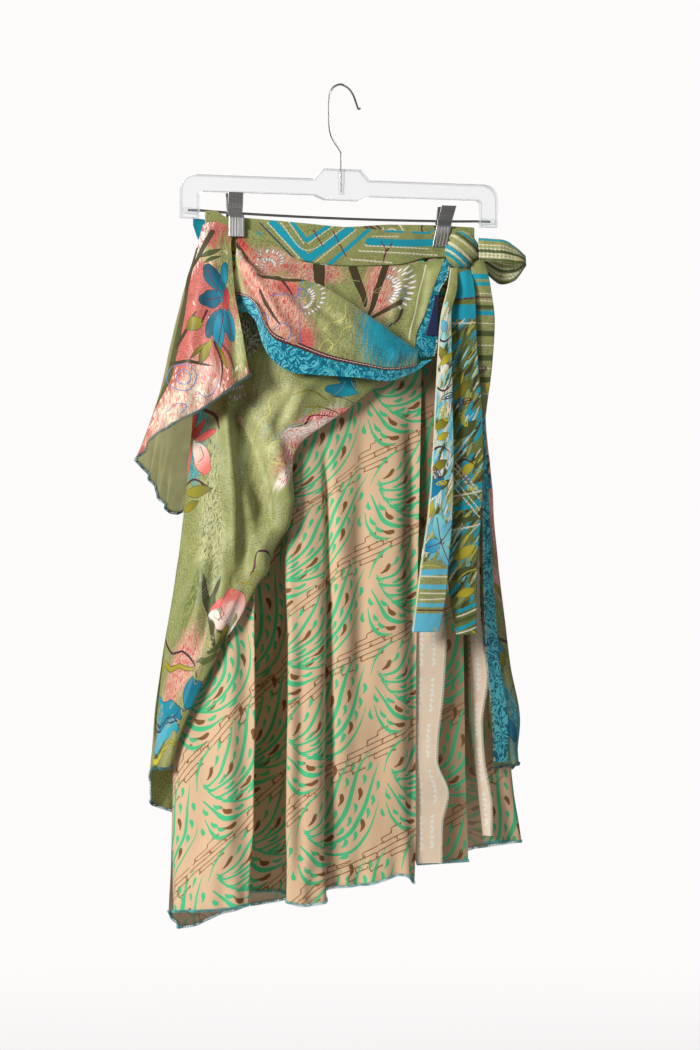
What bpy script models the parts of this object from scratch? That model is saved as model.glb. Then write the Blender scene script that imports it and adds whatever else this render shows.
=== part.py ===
"""Two-layer wrap skirt, tied at the wearer's left and held on a clear clip hanger.

The origin is the inside of the hook's top. +Z is up, and the front of the skirt faces -Y.
The tables are in millimetres, and every mesh is made in metres.
"""
import math
from collections import namedtuple

import bmesh
import bpy
import numpy as np

MM = 0.001
SEAM = 0.3             # gap left between pieces that are sewn to each other
CLOTH = 1.2            # wall of one layer of cloth
BAND_PLY = 2.7         # the waistband is folded cloth, two plies
TIE_PLY = 1.6          # the ties are sewn flat tubes
LAID_ON = CLOTH + SEAM  # how far a strip that lies on a panel stands off it
INNER_PLY, OUTER_PLY = -0.1, 1.9   # where the two layers enter the band, out from its middle
INNER_DROP = 1.6       # the inner layer starts this far below the band
SEAM_TRIM = 0.35       # each side of a seam, so that the walls' corners stay apart too
PINCH_TRIM = 1.3       # the same at the top of a side, where the cloth turns sharply
PINCH_SHARE = 0.45     # the share of the height over which that eases off

GREEN = (0.27, 0.31, 0.11, 1)
TAN = (0.60, 0.40, 0.25, 1)
CREAM = (0.74, 0.58, 0.44, 1)
TURQUOISE = (0.01, 0.35, 0.47, 1)
NAVY = (0.02, 0.03, 0.09, 1)
CLEAR = (0.90, 0.91, 0.92, 1)
METAL = (0.62, 0.62, 0.62, 1)

# ---------------------------------------------------------------- hanger sizes
BAR_HALF_LENGTH = 177.5
BAR_TOP, BAR_BOTTOM = -102.0, -119.5
BAR_THICK = 9.0
LEG_INNER = 157.0
LEG_BOTTOM = -148.5
LEG_CORNER = 17.0
BLOCK_TOP, BLOCK_BOTTOM = -90.8, -124.4
BLOCK_FLAT, BLOCK_FOOT = 21.0, 31.0
BLOCK_FILLET = 0.4     # the block's slopes meet the bar a little proud of its edges
ROD_RADIUS = 1.4
ROD_END = 169.0
ROD_LEFT, ROD_MIDDLE, ROD_RIGHT = -139.8, -144.0, -142.2
SOCKET_CLEARANCE = 0.3
HOOK_RADIUS = 1.2
HOOK_TURN = math.radians(30)
HOOK_FOOT = -116.0
CLIP_WIDTH = 16.5
CLIP_PLATE = 1.0

HookPoint = namedtuple("HookPoint", "along z")
HOOK = (
    HookPoint(0, HOOK_FOOT), HookPoint(0, -90), HookPoint(0, -74), HookPoint(-5, -67.5),
    HookPoint(-12, -60.5), HookPoint(-16.5, -53), HookPoint(-18.6, -41), HookPoint(-18.7, -26),
    HookPoint(-17.6, -12), HookPoint(-10.5, -2.1), HookPoint(0, 1.2), HookPoint(10.5, -1.6),
    HookPoint(18.5, -9), HookPoint(23.5, -18.5), HookPoint(26, -22.5), HookPoint(28.6, -21.6),
)

ClipLevel = namedtuple("ClipLevel", "z front back")
CLIP_LEFT = (
    ClipLevel(-120, -7.5, 7.5), ClipLevel(-132, -5.2, 5.0), ClipLevel(-141, -2.4, 2.4),
    ClipLevel(-146, -10.4, 3.9), ClipLevel(-168, -10.4, 3.9),
)
CLIP_RIGHT = (
    ClipLevel(-127, -8.2, 8.2), ClipLevel(-136, -5.4, 5.4), ClipLevel(-143, -2.4, 2.4),
    ClipLevel(-147, -3.9, 3.9), ClipLevel(-172, -3.9, 3.9),
)
CLIP_LEFT_X, CLIP_RIGHT_X = -118.5, 116.0
CLIP_RIGHT_LEAN = math.radians(12)

# ---------------------------------------------------------------- waistband
BandStation = namedtuple("BandStation", "x top bottom y")
BAND_FRONT = (
    BandStation(150, -150, -184, -1.65), BandStation(118, -152, -183, -1.65),
    BandStation(97, -156, -184, -1.65), BandStation(60, -156, -193, -6),
    BandStation(0, -154, -196, -8), BandStation(-45, -151, -191.5, -7),
    BandStation(-75, -149, -187, -5), BandStation(-108, -147, -184, -3.3),
    BandStation(-128, -146.5, -183, -3.3), BandStation(-140, -140, -181, -3.3),
    BandStation(-151, -141, -179, -3.3),
)
BAND_BACK = (
    BandStation(-150, -149, -188, 1.65), BandStation(-106, -148, -188, 1.65),
    BandStation(-60, -150, -191, 7), BandStation(0, -152, -193, 9),
    BandStation(60, -148, -190, 7), BandStation(97, -148, -188, 1.65),
    BandStation(150, -149, -188, 1.65),
)
BandEnd = namedtuple("BandEnd", "x y top bottom")
BAND_END = (
    BandEnd(-150.5, 1.65, -149.5, -176), BandEnd(-157, 1.2, -149, -172), BandEnd(-163.5, 0, -149, -156),
)

# ---------------------------------------------------------------- inner layer
# One chain of folds from the lap's edge round the left side and the back to the
# right front: x and y at three heights, and the hem's own height.
Fold = namedtuple("Fold", "name top_x hip_x hip_y knee_x knee_y hem_x hem_y hem_z")
INNER_HIP, INNER_KNEE = -400.0, -650.0
INNER = (
    Fold("lap edge", 92, 82, -24, 73, -42, 70, -49, -858),
    Fold("lap panel", 50, 46, -27, 46, -47, 52, -54, -848),
    Fold("panel middle", 12, 10, -28, 8, -48, 16, -51, -857),
    Fold("small step", -14, -14, -28, -25, -49, -28, -48, -861),
    Fold("second roll, right", -30, -28, -28, -36, -54, -37, -60, -873),
    Fold("second roll, crest", -44, -42, -29, -56, -58, -57, -66, -875),
    Fold("second roll, left", -58, -56, -27, -76, -50, -80, -54, -871),
    Fold("deep fold", -70, -70, -24, -87, -24, -91, -16, -872),
    Fold("first roll, right", -82, -84, -25, -100, -42, -103, -53, -872),
    Fold("first roll, crest", -104, -110, -23, -131, -48, -136, -61, -876),
    Fold("first roll, left", -130, -141, -14, -168, -33, -170, -42, -880),
    Fold("left side", -145, -159, -3, -186, -9, -189, -12, -884),
    Fold("back, far left", -132, -144, 18, -165, 24, -170, 24, -907),
    Fold("back left wave", -82, -88, 26, -100, 37, -104, 41, -891),
    Fold("back left hollow", -45, -48, 25, -52, 30, -54, 29, -880),
    Fold("back middle wave", 0, 0, 28, 2, 37, 4, 41, -868),
    Fold("back right hollow", 45, 46, 25, 52, 30, 56, 30, -855),
    Fold("back right wave", 84, 88, 26, 104, 36, 112, 40, -843),
    Fold("back, far right", 142, 142, 16, 164, 24, 176, 24, -830),
    Fold("right side", 145, 158, 1, 184, 2, 204, 3, -824),
    Fold("right front edge", 142, 147, -6, 143, -9, 157, -11, -822),
)
LEFT_SIDE = 11

# ---------------------------------------------------------------- outer layer
# One chain for each height, from the drape's slanted edge round the left side
# and the back to the right front edge. valley is where the soft trough lies,
# as a share of the way from the slanted edge to the left side.
OuterLevel = namedtuple("OuterLevel", "edge_x edge_y edge_z left_x left_y left_z valley trough "
                                      "back_y right_x right_y right_z front_x front_y front_z")
OUTER = (
    OuterLevel(72, -25, -297, -150, 0, -188.6, .60, 0, 7, 150, 0, -188.8, 144, -3.5, -185.6),
    OuterLevel(36, -32, -323, -155, -1, -240, .65, 2, 22, 158, 2, -240, 140, -10, -240),
    OuterLevel(-1, -37, -352, -160, -2, -300, .70, 6, 31, 164, 4, -300, 146, -12, -300),
    OuterLevel(-62, -42, -400, -165, -3, -370, .58, 6, 38, 166, 5, -360, 153, -13, -361),
    OuterLevel(-73, -47, -468, -171, -4, -440, .30, 9, 43, 173, 5, -430, 154, -14, -440),
    OuterLevel(-117, -54, -563, -183, -4, -530, .35, 4, 46, 182, 5, -530, 154.5, -15, -520),
    OuterLevel(-165, -46, -648, -197, -3, -620, .50, 3, 49, 194, 5, -625, 158, -15, -620),
    OuterLevel(-184, -34, -700, -205, 0, -690, .50, 2, 51, 206, 5, -695, 165, -15, -690),
    OuterLevel(-189, -25, -729, -206, 2, -733, .50, 1, 53, 204, 5, -738, 167, -14, -741),
)
# The pleat that the swag hides: the lap ends on this line and the drape starts there.
PLEAT_LINE = (
    (72, -25, -297), (40, -26, -277), (0, -25, -257), (-40, -22, -239),
    (-80, -18, -224), (-112, -13, -210), (-135, -8, -198), (-150, 0, -188.6),
)
DRAPE_SHARES = (0.12, 0.5, 1.0, 1.5, 1.86)       # of the way to the valley, then past it
TURN_UNDER = ((-11, 6, 3), (-2.4, 4.9, 0.6), (0, 2.4, 0))   # the drape's edge, turned under
TURN_FULL_WIDTH = 40                             # where the drape is narrower, so is the turn
BACK_SHARES = (0.2, 0.36, 0.5, 0.64, 0.8)
BACK_WAVE = 4.0
SIDE_INSET = 3                                   # where the sides turn, in x
SIDE_DEPTHS = (0.30, 0.86)                       # share of the back's depth there, and at the next fold
HEM_FLARE = -1                                   # the hem's left side turns the other way
VALLEY_FADE = 4                                  # how late the drape turns back to the side
CREST_SHARE = 1 / 3                              # of the trough's depth, for the crests beside it
BORDER_LEVELS, BORDER_WIDTH = (2.6, 7.9), 0.42   # in levels, and in stations
HEM_DROP = (34, 58, 52, 44, 32, 18, 6)           # back hem below the line from side to side
OUTER_LEFT = 8

# ---------------------------------------------------------------- front lap
LapLevel = namedtuple("LapLevel", "strip_right strip_left right_z left_z y")
LAP_EDGE = (
    LapLevel(122, 115, -186, -184.5, -5), LapLevel(115.5, 104, -206, -206, -16),
    LapLevel(105, 96, -224, -224, -19), LapLevel(103, 88, -247, -247, -22),
    LapLevel(103, 77, -273, -273, -24), LapLevel(99, 75, -292, -296, -26),
)
LAP_FLARE = 1.5                  # it lies flat below the band, then comes forward
LABEL_LEVELS, LABEL_SHARES = (2.1, 3.9), (0.06, 0.62)
LapStation = namedtuple("LapStation", "top_x top_y top_z foot_x foot_y foot_z")
LAP = (
    LapStation(60, -8.6, -194, 46, -26, -279.5), LapStation(0, -10.3, -196.6, 0, -25, -256.5),
    LapStation(-45, -9.4, -192.5, -40, -22, -238.5), LapStation(-80, -7.4, -172, -80, -18, -223.5),
    LapStation(-119, -5.9, -152, -112, -12, -209.5),
)

# ---------------------------------------------------------------- swag
SwagStation = namedtuple("SwagStation", "top_x top_y top_z braid_x braid_y braid_z hem_x hem_y hem_z")
SWAG = (
    SwagStation(79, -33, -293, 79.5, -36, -299, 92, -36, -297),
    SwagStation(75, -35, -288, 72, -40, -304, 66, -42, -313),
    SwagStation(52, -38, -273, 40, -48, -310, 36, -49, -322),
    SwagStation(30, -39, -258, 10, -51, -306, 8, -51, -319),
    SwagStation(-2, -39, -237, -28, -51, -299, -30, -50, -317),
    SwagStation(-38, -37, -218, -60, -49, -288, -62, -48, -315),
    SwagStation(-66, -33, -212, -86, -46, -278, -88, -45, -300),
    SwagStation(-82, -30, -211, -95, -44, -266, -98, -42, -282),
    SwagStation(-95, -26, -209, -103, -40, -245, -104, -38, -260),
    SwagStation(-112, -18, -196, -113, -32, -234, -113, -30, -250),
    SwagStation(-118, -8.4, -170.5, -126, -24, -232, -126, -22, -252),
)
SWAG_ROLL = (0.18, -9)           # its top edge turns back by a share of its depth, and down
SWAG_BELLY = 3                   # how far it swells between the top edge and the braid

# ---------------------------------------------------------------- lifted corner
FlapLevel = namedtuple("FlapLevel", "right second third fourth fifth left")
FLAP = (
    FlapLevel((-121, -8.4, -158), (-126, -8.4, -157), (-132, -8.4, -155), (-139, -8.2, -153),
              (-147, -7.6, -153), (-154, -6.8, -156)),
    FlapLevel((-124, -9.2, -173), (-131, -10, -174), (-139, -13, -175), (-147, -14, -176),
              (-155, -12, -177), (-161, -9, -178)),
    FlapLevel((-126, -36, -225), (-136, -40, -224), (-147, -38, -223), (-158, -33, -223),
              (-168, -25, -224), (-176, -15, -226)),
    FlapLevel((-121, -54, -278), (-134, -53, -280), (-149, -48, -282), (-165, -42, -284),
              (-180, -33, -286), (-192, -20, -288)),
    FlapLevel((-118, -56, -300), (-133, -57, -307), (-151, -52, -315), (-172, -45, -323),
              (-190, -36, -330), (-204, -25, -336)),
    FlapLevel((-115, -56, -317), (-139, -58, -334), (-164, -52, -353), (-190, -44, -367),
              (-213, -34, -382), (-229, -27, -406)),
)
UNDER_FLAP = (
    FlapLevel((-176, -14, -226), (-174, -4, -227), (-169, 6, -228), (-162, 15, -229),
              (-154, 23, -230), (-146, 29, -231)),
    FlapLevel((-192, -19, -288), (-190, -8, -289), (-185, 4, -290), (-176, 16, -292),
              (-166, 27, -294), (-154, 36, -296)),
    FlapLevel((-204, -24, -336), (-201, -11, -341), (-195, 3, -347), (-186, 17, -352),
              (-173, 31, -356), (-158, 42, -358)),
    FlapLevel((-229, -26, -406.5), (-213, -12, -424), (-201, 3, -440), (-191, 18, -455),
              (-176, 34, -462), (-160, 46, -460)),
)

# ---------------------------------------------------------------- under lap and selvages
UnderLevel = namedtuple("UnderLevel", "z left left_y right right_y turn")
UNDER_LAP = (
    UnderLevel(-188.7, 84, 0, 134, 0, 20), UnderLevel(-260, 84, -5, 135, -3.5, 20),
    UnderLevel(-330, 84, -14, 136, -9, 20), UnderLevel(-450, 78, -19, 135, -12, 20),
    UnderLevel(-540, 75, -27, 133, -16, 26), UnderLevel(-600, 74.5, -32, 132, -20, 31),
    UnderLevel(-656, 72, -34, 132, -23, 30), UnderLevel(-705, 68.5, -36, 132, -25, 27),
    UnderLevel(-731, 70, -37, 132, -26, 24), UnderLevel(-766, 71, -38, 133, -26, 36),
    UnderLevel(-800, 72, -40, 134, -27, 27), UnderLevel(-839, 73, -41, 135, -28, 25),
)
UNDER_TURN_TOP = 4               # the turned selvage starts at this level, behind the ties
SELVAGE_TURN = (
    (-470, 3), (-558, 6), (-600, 10), (-641, 17), (-691, 9), (-731, 8), (-784, 11), (-815, 7),
)

# ---------------------------------------------------------------- ties
TieLevel = namedtuple("TieLevel", "z left right y")
TIE_FRONT = (
    TieLevel(-196.2, 118, 126, -17), TieLevel(-222, 108, 119, -37), TieLevel(-253, 98, 110, -46),
    TieLevel(-335, 91, 110, -50), TieLevel(-401, 87, 111, -52), TieLevel(-468, 81, 109, -53),
    TieLevel(-509, 74, 105, -55), TieLevel(-558, 67, 100, -56), TieLevel(-590, 63, 93, -56),
)
TIE_BACK = (
    TieLevel(-197, 129, 141, -16.4), TieLevel(-218, 123, 142, -28), TieLevel(-254, 113, 141, -37),
    TieLevel(-300, 113, 143, -38), TieLevel(-350, 113, 147, -40), TieLevel(-401, 113, 148, -41),
    TieLevel(-455, 110, 146, -42), TieLevel(-525, 107, 140, -43), TieLevel(-594, 116, 139, -43),
)
TIE_FALL = (
    TieLevel(-189, 145, 157, -16.2), TieLevel(-215, 143, 162, -22.5), TieLevel(-254, 135, 164, -31),
    TieLevel(-300, 133, 161, -32), TieLevel(-350, 129, 154, -33), TieLevel(-357, 128.5, 153.5, -30),
    TieLevel(-350, 129, 154, -26.5), TieLevel(-300, 133, 161, -25.5), TieLevel(-254, 135, 163, -24),
    TieLevel(-222, 141, 160, -15.5), TieLevel(-203, 144, 156, -9),
)
LoopSection = namedtuple("LoopSection", "top foot")
TIE_LOOP = (
    LoopSection((148.3, -22, -163), (148.5, -24, -188)), LoopSection((175, -27, -165), (178, -34, -190)),
    LoopSection((195, -24, -176), (197, -31, -191)), LoopSection((205, -14, -182), (205, -14, -192)),
    LoopSection((200, -5, -184), (196, -4, -207)), LoopSection((180, 1, -177), (182, 0, -211)),
    LoopSection((148.5, -9, -168), (149.5, -9.5, -190)),
)
KNOT_CENTRE = (131, -16.1, -176)
KNOT_RADII = (19, 13.6, 20.5)
KNOT_GROOVE, KNOT_GROOVE_WIDTH = 0.10, 0.22
KNOT_SLANT = (0.8, 0.6)          # the groove runs across this direction, in x and z
TIE_BELLY = 1.2                  # how far a tie bows forward across its width


# ---------------------------------------------------------------- curves and surfaces
def smooth(values, at):
    """A soft curve through rows of values, which never swings past them."""
    values = np.asarray(values, float)
    last = len(values) - 1
    at = np.clip(np.asarray(at, float), 0, last)
    step = np.diff(values, axis=0)
    slope = np.zeros_like(values)
    before, after = step[:-1], step[1:]
    same_way = before * after > 0
    total = np.where(same_way, before + after, 1.0)
    slope[1:-1] = np.where(same_way, 2 * before * after / total, 0.0)
    slope[0], slope[-1] = step[0], step[-1]
    index = np.minimum(at.astype(int), last - 1)
    t = (at - index).reshape((-1,) + (1,) * (values.ndim - 1))
    start, end = values[index], values[index + 1]
    return ((2 * t**3 - 3 * t**2 + 1) * start + (t**3 - 2 * t**2 + t) * slope[index]
            + (3 * t**2 - 2 * t**3) * end + (t**3 - t**2) * slope[index + 1])


def surface(rows, down, across, levels=None, stations=None):
    """Points of a sheet through rows of control points, between the given levels and stations."""
    rows = np.asarray(rows, float)
    levels = levels or (0, rows.shape[0] - 1)
    stations = stations or (0, rows.shape[1] - 1)
    grid = smooth(rows, np.linspace(*levels, down + 1))
    grid = smooth(np.swapaxes(grid, 0, 1), np.linspace(*stations, across + 1))
    return np.swapaxes(grid, 0, 1)


def trimmed(points, first=0.0, last=0.0, top=0.0, foot=0.0):
    """The same sheet with its edges drawn in by the given lengths."""
    points = points.copy()

    def draw_in(edge, inner, length):
        way = inner - edge
        return edge + way * (length / np.linalg.norm(way, axis=1, keepdims=True))

    points[:, 0] = draw_in(points[:, 0], points[:, 1], first)
    points[:, -1] = draw_in(points[:, -1], points[:, -2], last)
    points[0] = draw_in(points[0], points[1], top)
    points[-1] = draw_in(points[-1], points[-2], foot)
    return points


def pinched(rows):
    """How much to trim each row of a side seam: more at the top, where the turn is sharp."""
    return np.interp(np.linspace(0, 1, rows), (0, PINCH_SHARE), (PINCH_TRIM, SEAM_TRIM))[:, None]


def raised(points, height):
    """The sheet moved out along its own normals, which point to the front on the front."""
    along = np.gradient(points, axis=1)
    below = np.gradient(points, axis=0)
    normal = np.cross(along, below)
    return points + normal * (height / np.linalg.norm(normal, axis=2, keepdims=True))


def material(name, colour, roughness=0.6, metallic=0.0):
    found = bpy.data.materials.get(name)
    if found:
        return found
    made = bpy.data.materials.new(name)
    made.use_nodes = True
    shader = made.node_tree.nodes["Principled BSDF"]
    shader.inputs["Base Color"].default_value = colour
    shader.inputs["Roughness"].default_value = roughness
    shader.inputs["Metallic"].default_value = metallic
    return made


def add(name, mesh, finish):
    piece = bpy.data.objects.new(name, mesh)
    collection.objects.link(piece)
    piece.data.materials.append(finish)
    return piece


def wall(name, points, finish, thickness=CLOTH):
    """A sheet of cloth or metal as an open grid of faces with a wall's thickness."""
    down, across = points.shape[0], points.shape[1]
    corners = [tuple(point * MM) for point in points.reshape(-1, 3)]
    faces = [(r * across + c, r * across + c + 1, (r + 1) * across + c + 1, (r + 1) * across + c)
             for r in range(down - 1) for c in range(across - 1)]
    mesh = bpy.data.meshes.new(name)
    mesh.from_pydata(corners, [], faces)
    mesh.shade_smooth()
    piece = add(name, mesh, finish)
    solid = piece.modifiers.new("thickness", "SOLIDIFY")
    solid.thickness = thickness * MM
    solid.offset = 0.0
    return piece


def wire(name, points, radius, finish, resolution=2):
    """A round wire through a list of points."""
    curve = bpy.data.curves.new(name, "CURVE")
    curve.dimensions = "3D"
    curve.bevel_depth = radius * MM
    curve.bevel_resolution = resolution
    curve.use_fill_caps = True
    spline = curve.splines.new("POLY")
    spline.points.add(len(points) - 1)
    for target, point in zip(spline.points, points):
        target.co = (*(np.asarray(point) * MM), 1)
    return add(name, curve, finish)


def cutter(name, radius, start, end):
    """A round hole from one point to another, for a Boolean."""
    start, end = np.asarray(start, float) * MM, np.asarray(end, float) * MM
    length = float(np.linalg.norm(end - start))
    bpy.ops.mesh.primitive_cylinder_add(vertices=16, radius=radius * MM, depth=length)
    tool = bpy.context.object
    tool.name = name
    tool.location = (start + end) / 2
    if abs(end[0] - start[0]) > 0:
        tool.rotation_euler = (0, math.radians(90), 0)
    for owner in list(tool.users_collection):
        owner.objects.unlink(tool)
    cutters.objects.link(tool)
    tool.hide_render = True
    tool.display_type = "WIRE"
    return tool


# ---------------------------------------------------------------- hanger
def rod_height(x):
    """The rod sags a little under the skirt, and its ends are not quite level."""
    share = (x + ROD_END) / (2 * ROD_END)
    straight = ROD_LEFT + (ROD_RIGHT - ROD_LEFT) * share
    sag = ROD_MIDDLE - (ROD_LEFT + ROD_RIGHT) / 2
    return straight + sag * 4 * share * (1 - share)


def bar_outline():
    """Half of the bar's outline, from the middle of its top round to the middle below."""
    corner = [(BAR_HALF_LENGTH - LEG_CORNER * (1 - math.sin(a)), BAR_TOP - LEG_CORNER * (1 - math.cos(a)))
              for a in np.radians([0, 22.5, 45, 67.5, 90])]
    half = [(BLOCK_FLAT, BLOCK_TOP), (BLOCK_FOOT, BAR_TOP + BLOCK_FILLET), *corner,
            (BAR_HALF_LENGTH, LEG_BOTTOM), (LEG_INNER, LEG_BOTTOM), (LEG_INNER, BAR_BOTTOM - 3),
            (LEG_INNER - 3, BAR_BOTTOM), (BLOCK_FOOT, BAR_BOTTOM - BLOCK_FILLET),
            (BLOCK_FLAT - 2, BLOCK_BOTTOM)]
    return half + [(-x, z) for x, z in reversed(half)]


def make_bar(finish):
    curve = bpy.data.curves.new("bar outline", "CURVE")
    curve.dimensions = "2D"
    curve.fill_mode = "BOTH"
    curve.extrude = BAR_THICK / 2 * MM
    spline = curve.splines.new("POLY")
    outline = bar_outline()
    spline.points.add(len(outline) - 1)
    for target, (x, z) in zip(spline.points, outline):
        target.co = (x * MM, z * MM, 0, 1)
    spline.use_cyclic_u = True
    flat = bpy.data.objects.new("bar outline", curve)
    flat.rotation_euler = (math.radians(90), 0, 0)
    collection.objects.link(flat)
    bpy.context.view_layer.update()
    mesh = bpy.data.meshes.new_from_object(flat.evaluated_get(bpy.context.evaluated_depsgraph_get()))
    mesh.transform(flat.matrix_world)
    bpy.data.objects.remove(flat)
    shape = bmesh.new()
    shape.from_mesh(mesh)
    bmesh.ops.remove_doubles(shape, verts=shape.verts, dist=1e-5)
    bmesh.ops.recalc_face_normals(shape, faces=shape.faces)
    shape.to_mesh(mesh)
    shape.free()
    bar = add("hanger_bar", mesh, finish)
    socket = ROD_RADIUS + SOCKET_CLEARANCE
    depth = ROD_END + SOCKET_CLEARANCE
    tools = [
        cutter("left socket", socket, (-depth, 0, rod_height(-LEG_INNER - 6)),
               (-LEG_INNER + 4, 0, rod_height(-LEG_INNER - 6))),
        cutter("right socket", socket, (LEG_INNER - 4, 0, rod_height(LEG_INNER + 6)),
               (depth, 0, rod_height(LEG_INNER + 6))),
        cutter("hook socket", HOOK_RADIUS + SOCKET_CLEARANCE, (0, 0, HOOK_FOOT - SOCKET_CLEARANCE),
               (0, 0, BLOCK_TOP + 4)),
    ]
    for tool in tools:
        cut = bar.modifiers.new(tool.name, "BOOLEAN")
        cut.operation = "DIFFERENCE"
        cut.object = tool
    return bar


def make_rod(finish):
    inside = LEG_INNER - 1
    stations = [-ROD_END, *np.linspace(-inside, inside, 13), ROD_END]
    heights = [rod_height(math.copysign(LEG_INNER + 6, x)) if abs(x) >= inside else rod_height(x)
               for x in stations]
    return wire("hanger_rod", [(x, 0, z) for x, z in zip(stations, heights)], ROD_RADIUS, finish, 3)


def make_hook(finish):
    along_and_height = smooth(HOOK, np.linspace(0, len(HOOK) - 1, 46))
    turned = [(s * math.cos(HOOK_TURN), s * math.sin(HOOK_TURN), z) for s, z in along_and_height]
    return wire("hanger_hook", turned, HOOK_RADIUS, finish)


def make_clip(side, levels, centre_x, lean, finish):
    """Two sprung plates that flare above the rod and close on the waistband below it."""
    for face, lateral in (("front", 1), ("back", -1)):
        rows = []
        for level in levels:
            y = level.front if face == "front" else level.back
            shift = (level.z - levels[2].z) * math.tan(lean)
            rows.append([(centre_x + shift + lateral * half, y, level.z)
                         for half in (CLIP_WIDTH / 2, -CLIP_WIDTH / 2)])
        wall(f"clip_{side}_{face}", surface(rows, 10, 1), finish, CLIP_PLATE)


# ---------------------------------------------------------------- waistband
def make_waistband(finish, end_finish):
    front = [[(s.x, s.y, s.top) for s in BAND_FRONT], [(s.x, s.y, s.bottom) for s in BAND_FRONT]]
    back = [[(s.x, s.y, s.top) for s in BAND_BACK], [(s.x, s.y, s.bottom) for s in BAND_BACK]]
    end = [[(s.x, s.y, s.top) for s in BAND_END], [(s.x, s.y, s.bottom) for s in BAND_END]]
    wall("waistband_front", surface(front, 2, 24), finish, BAND_PLY)
    wall("waistband_back", surface(back, 2, 18), finish, BAND_PLY)
    wall("waistband_end", surface(end, 2, 4), end_finish)


def band_foot(band, x, drop, ply_shift):
    """A point just below the band's lower edge, on one of the two layers sewn into it."""
    ordered = sorted(band, key=lambda s: s.x)
    places = [s.x for s in ordered]
    z = float(np.interp(x, places, [s.bottom for s in ordered]))
    y = float(np.interp(x, places, [s.y for s in ordered]))
    return (x, y + ply_shift, z - drop)


# ---------------------------------------------------------------- inner layer
def inner_rows():
    """Control points of the inner layer, top to hem."""
    top = []
    for place, fold in enumerate(INNER):
        in_front = place < LEFT_SIDE or place == len(INNER) - 1
        at_side = place in (LEFT_SIDE, len(INNER) - 2)
        band = BAND_FRONT if in_front else BAND_BACK
        x, y, z = band_foot(band, fold.top_x, INNER_DROP, -INNER_PLY if in_front else INNER_PLY)
        top.append((x, 0.0 if at_side else y, z))
    hip = [(f.hip_x, f.hip_y, INNER_HIP) for f in INNER]
    knee = [(f.knee_x, f.knee_y, INNER_KNEE) for f in INNER]
    hem = [(f.hem_x, f.hem_y, f.hem_z) for f in INNER]
    return [top, hip, knee, hem]


def make_inner_layer(printed, plain):
    rows = inner_rows()
    last = len(INNER) - 1
    front = surface(rows, 12, 33, stations=(0, LEFT_SIDE))
    back = surface(rows, 12, 27, stations=(LEFT_SIDE, last))
    wall("inner_front", trimmed(front, last=pinched(len(front))), printed)
    wall("inner_back", trimmed(back, first=pinched(len(back))), printed)

    under = [[(lv.right + (lv.left - lv.right) * share, lv.right_y + (lv.left_y - lv.right_y) * share, lv.z)
              for share in (0, 0.35, 0.7, 1)] for lv in UNDER_LAP]
    wall("inner_under", surface(under, 18, 5), printed)
    turn = [[(lv.left + lv.turn * share, 0, lv.z) for share in (1, 0.5, 0)]
            for lv in UNDER_LAP[UNDER_TURN_TOP:]]
    for row, lv in zip(turn, UNDER_LAP[UNDER_TURN_TOP:]):
        for place, (x, _, z) in enumerate(row):
            share = (lv.right - x) / (lv.right - lv.left)
            y = lv.right_y + (lv.left_y - lv.right_y) * share
            row[place] = (x, y - LAID_ON, z)
    wall("inner_turn", surface(turn, 12, 2), plain)

    edge = surface(rows, 24, 8, levels=(1, 3), stations=(last - 1, last))
    strip = []
    for z, width in SELVAGE_TURN:
        row = edge[int(np.argmin(np.abs(edge[:, -1, 2] - z)))]
        fold = row[-1] + (0, -LAID_ON - SEAM, 0)
        strip.append([(fold[0] + width, fold[1] - 0.5, z), (fold[0] + width / 2, fold[1], z),
                      (fold[0], fold[1], z)])
    wall("inner_edge", surface(strip, 12, 2), plain)


# ---------------------------------------------------------------- outer layer
def outer_rows():
    """Control points of the outer layer, top to hem, from the slanted edge to the right front."""
    rows = []
    pleat = np.asarray(PLEAT_LINE, float)
    for number, lv in enumerate(OUTER):
        edge = np.array((lv.edge_x, lv.edge_y, lv.edge_z), float)
        left = np.array((lv.left_x, lv.left_y, lv.left_z), float)
        width = min(1.0, (lv.edge_x - lv.left_x) / TURN_FULL_WIDTH)
        row = [edge + np.multiply(turn, (width, 1, 1)) for turn in TURN_UNDER]
        for share in DRAPE_SHARES:
            past = max(0.0, share - 1)
            way = lv.valley * min(share, 1) + (1 - lv.valley) * past
            if number == 0:
                row.append(smooth(pleat, [way * (len(pleat) - 1)])[0])
                continue
            point = edge + (left - edge) * way
            point[1] = lv.edge_y + (lv.left_y - lv.edge_y) * way**VALLEY_FADE
            point[1] += lv.trough if share == 1.0 else -lv.trough * CREST_SHARE * (share in (0.5, 1.5))
            row.append(point)
        row.append(left)
        right = np.array((lv.right_x, lv.right_y, lv.right_z), float)
        hem = number == len(OUTER) - 1
        inset = SIDE_INSET / (lv.right_x - lv.left_x)
        shares = (inset * (HEM_FLARE if hem else 1), *BACK_SHARES, 1 - inset)
        for place, share in enumerate(shares):
            point = left + (right - left) * share
            from_side = min(place, len(shares) - 1 - place)
            depth = SIDE_DEPTHS[from_side] if from_side < len(SIDE_DEPTHS) else 1.0
            wave = BACK_WAVE * number / len(OUTER) if from_side >= len(SIDE_DEPTHS) else 0.0
            point[1] = left[1] + (lv.back_y - left[1]) * depth + wave * (-1) ** place
            if number == 0:
                point = np.array(band_foot(BAND_BACK, point[0], 2 * SEAM, OUTER_PLY))
            if hem:
                point[2] -= HEM_DROP[place]
            row.append(point)
        row.append(right)
        row.append(np.array((lv.front_x, lv.front_y, lv.front_z), float))
        rows.append(row)
    return rows


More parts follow.
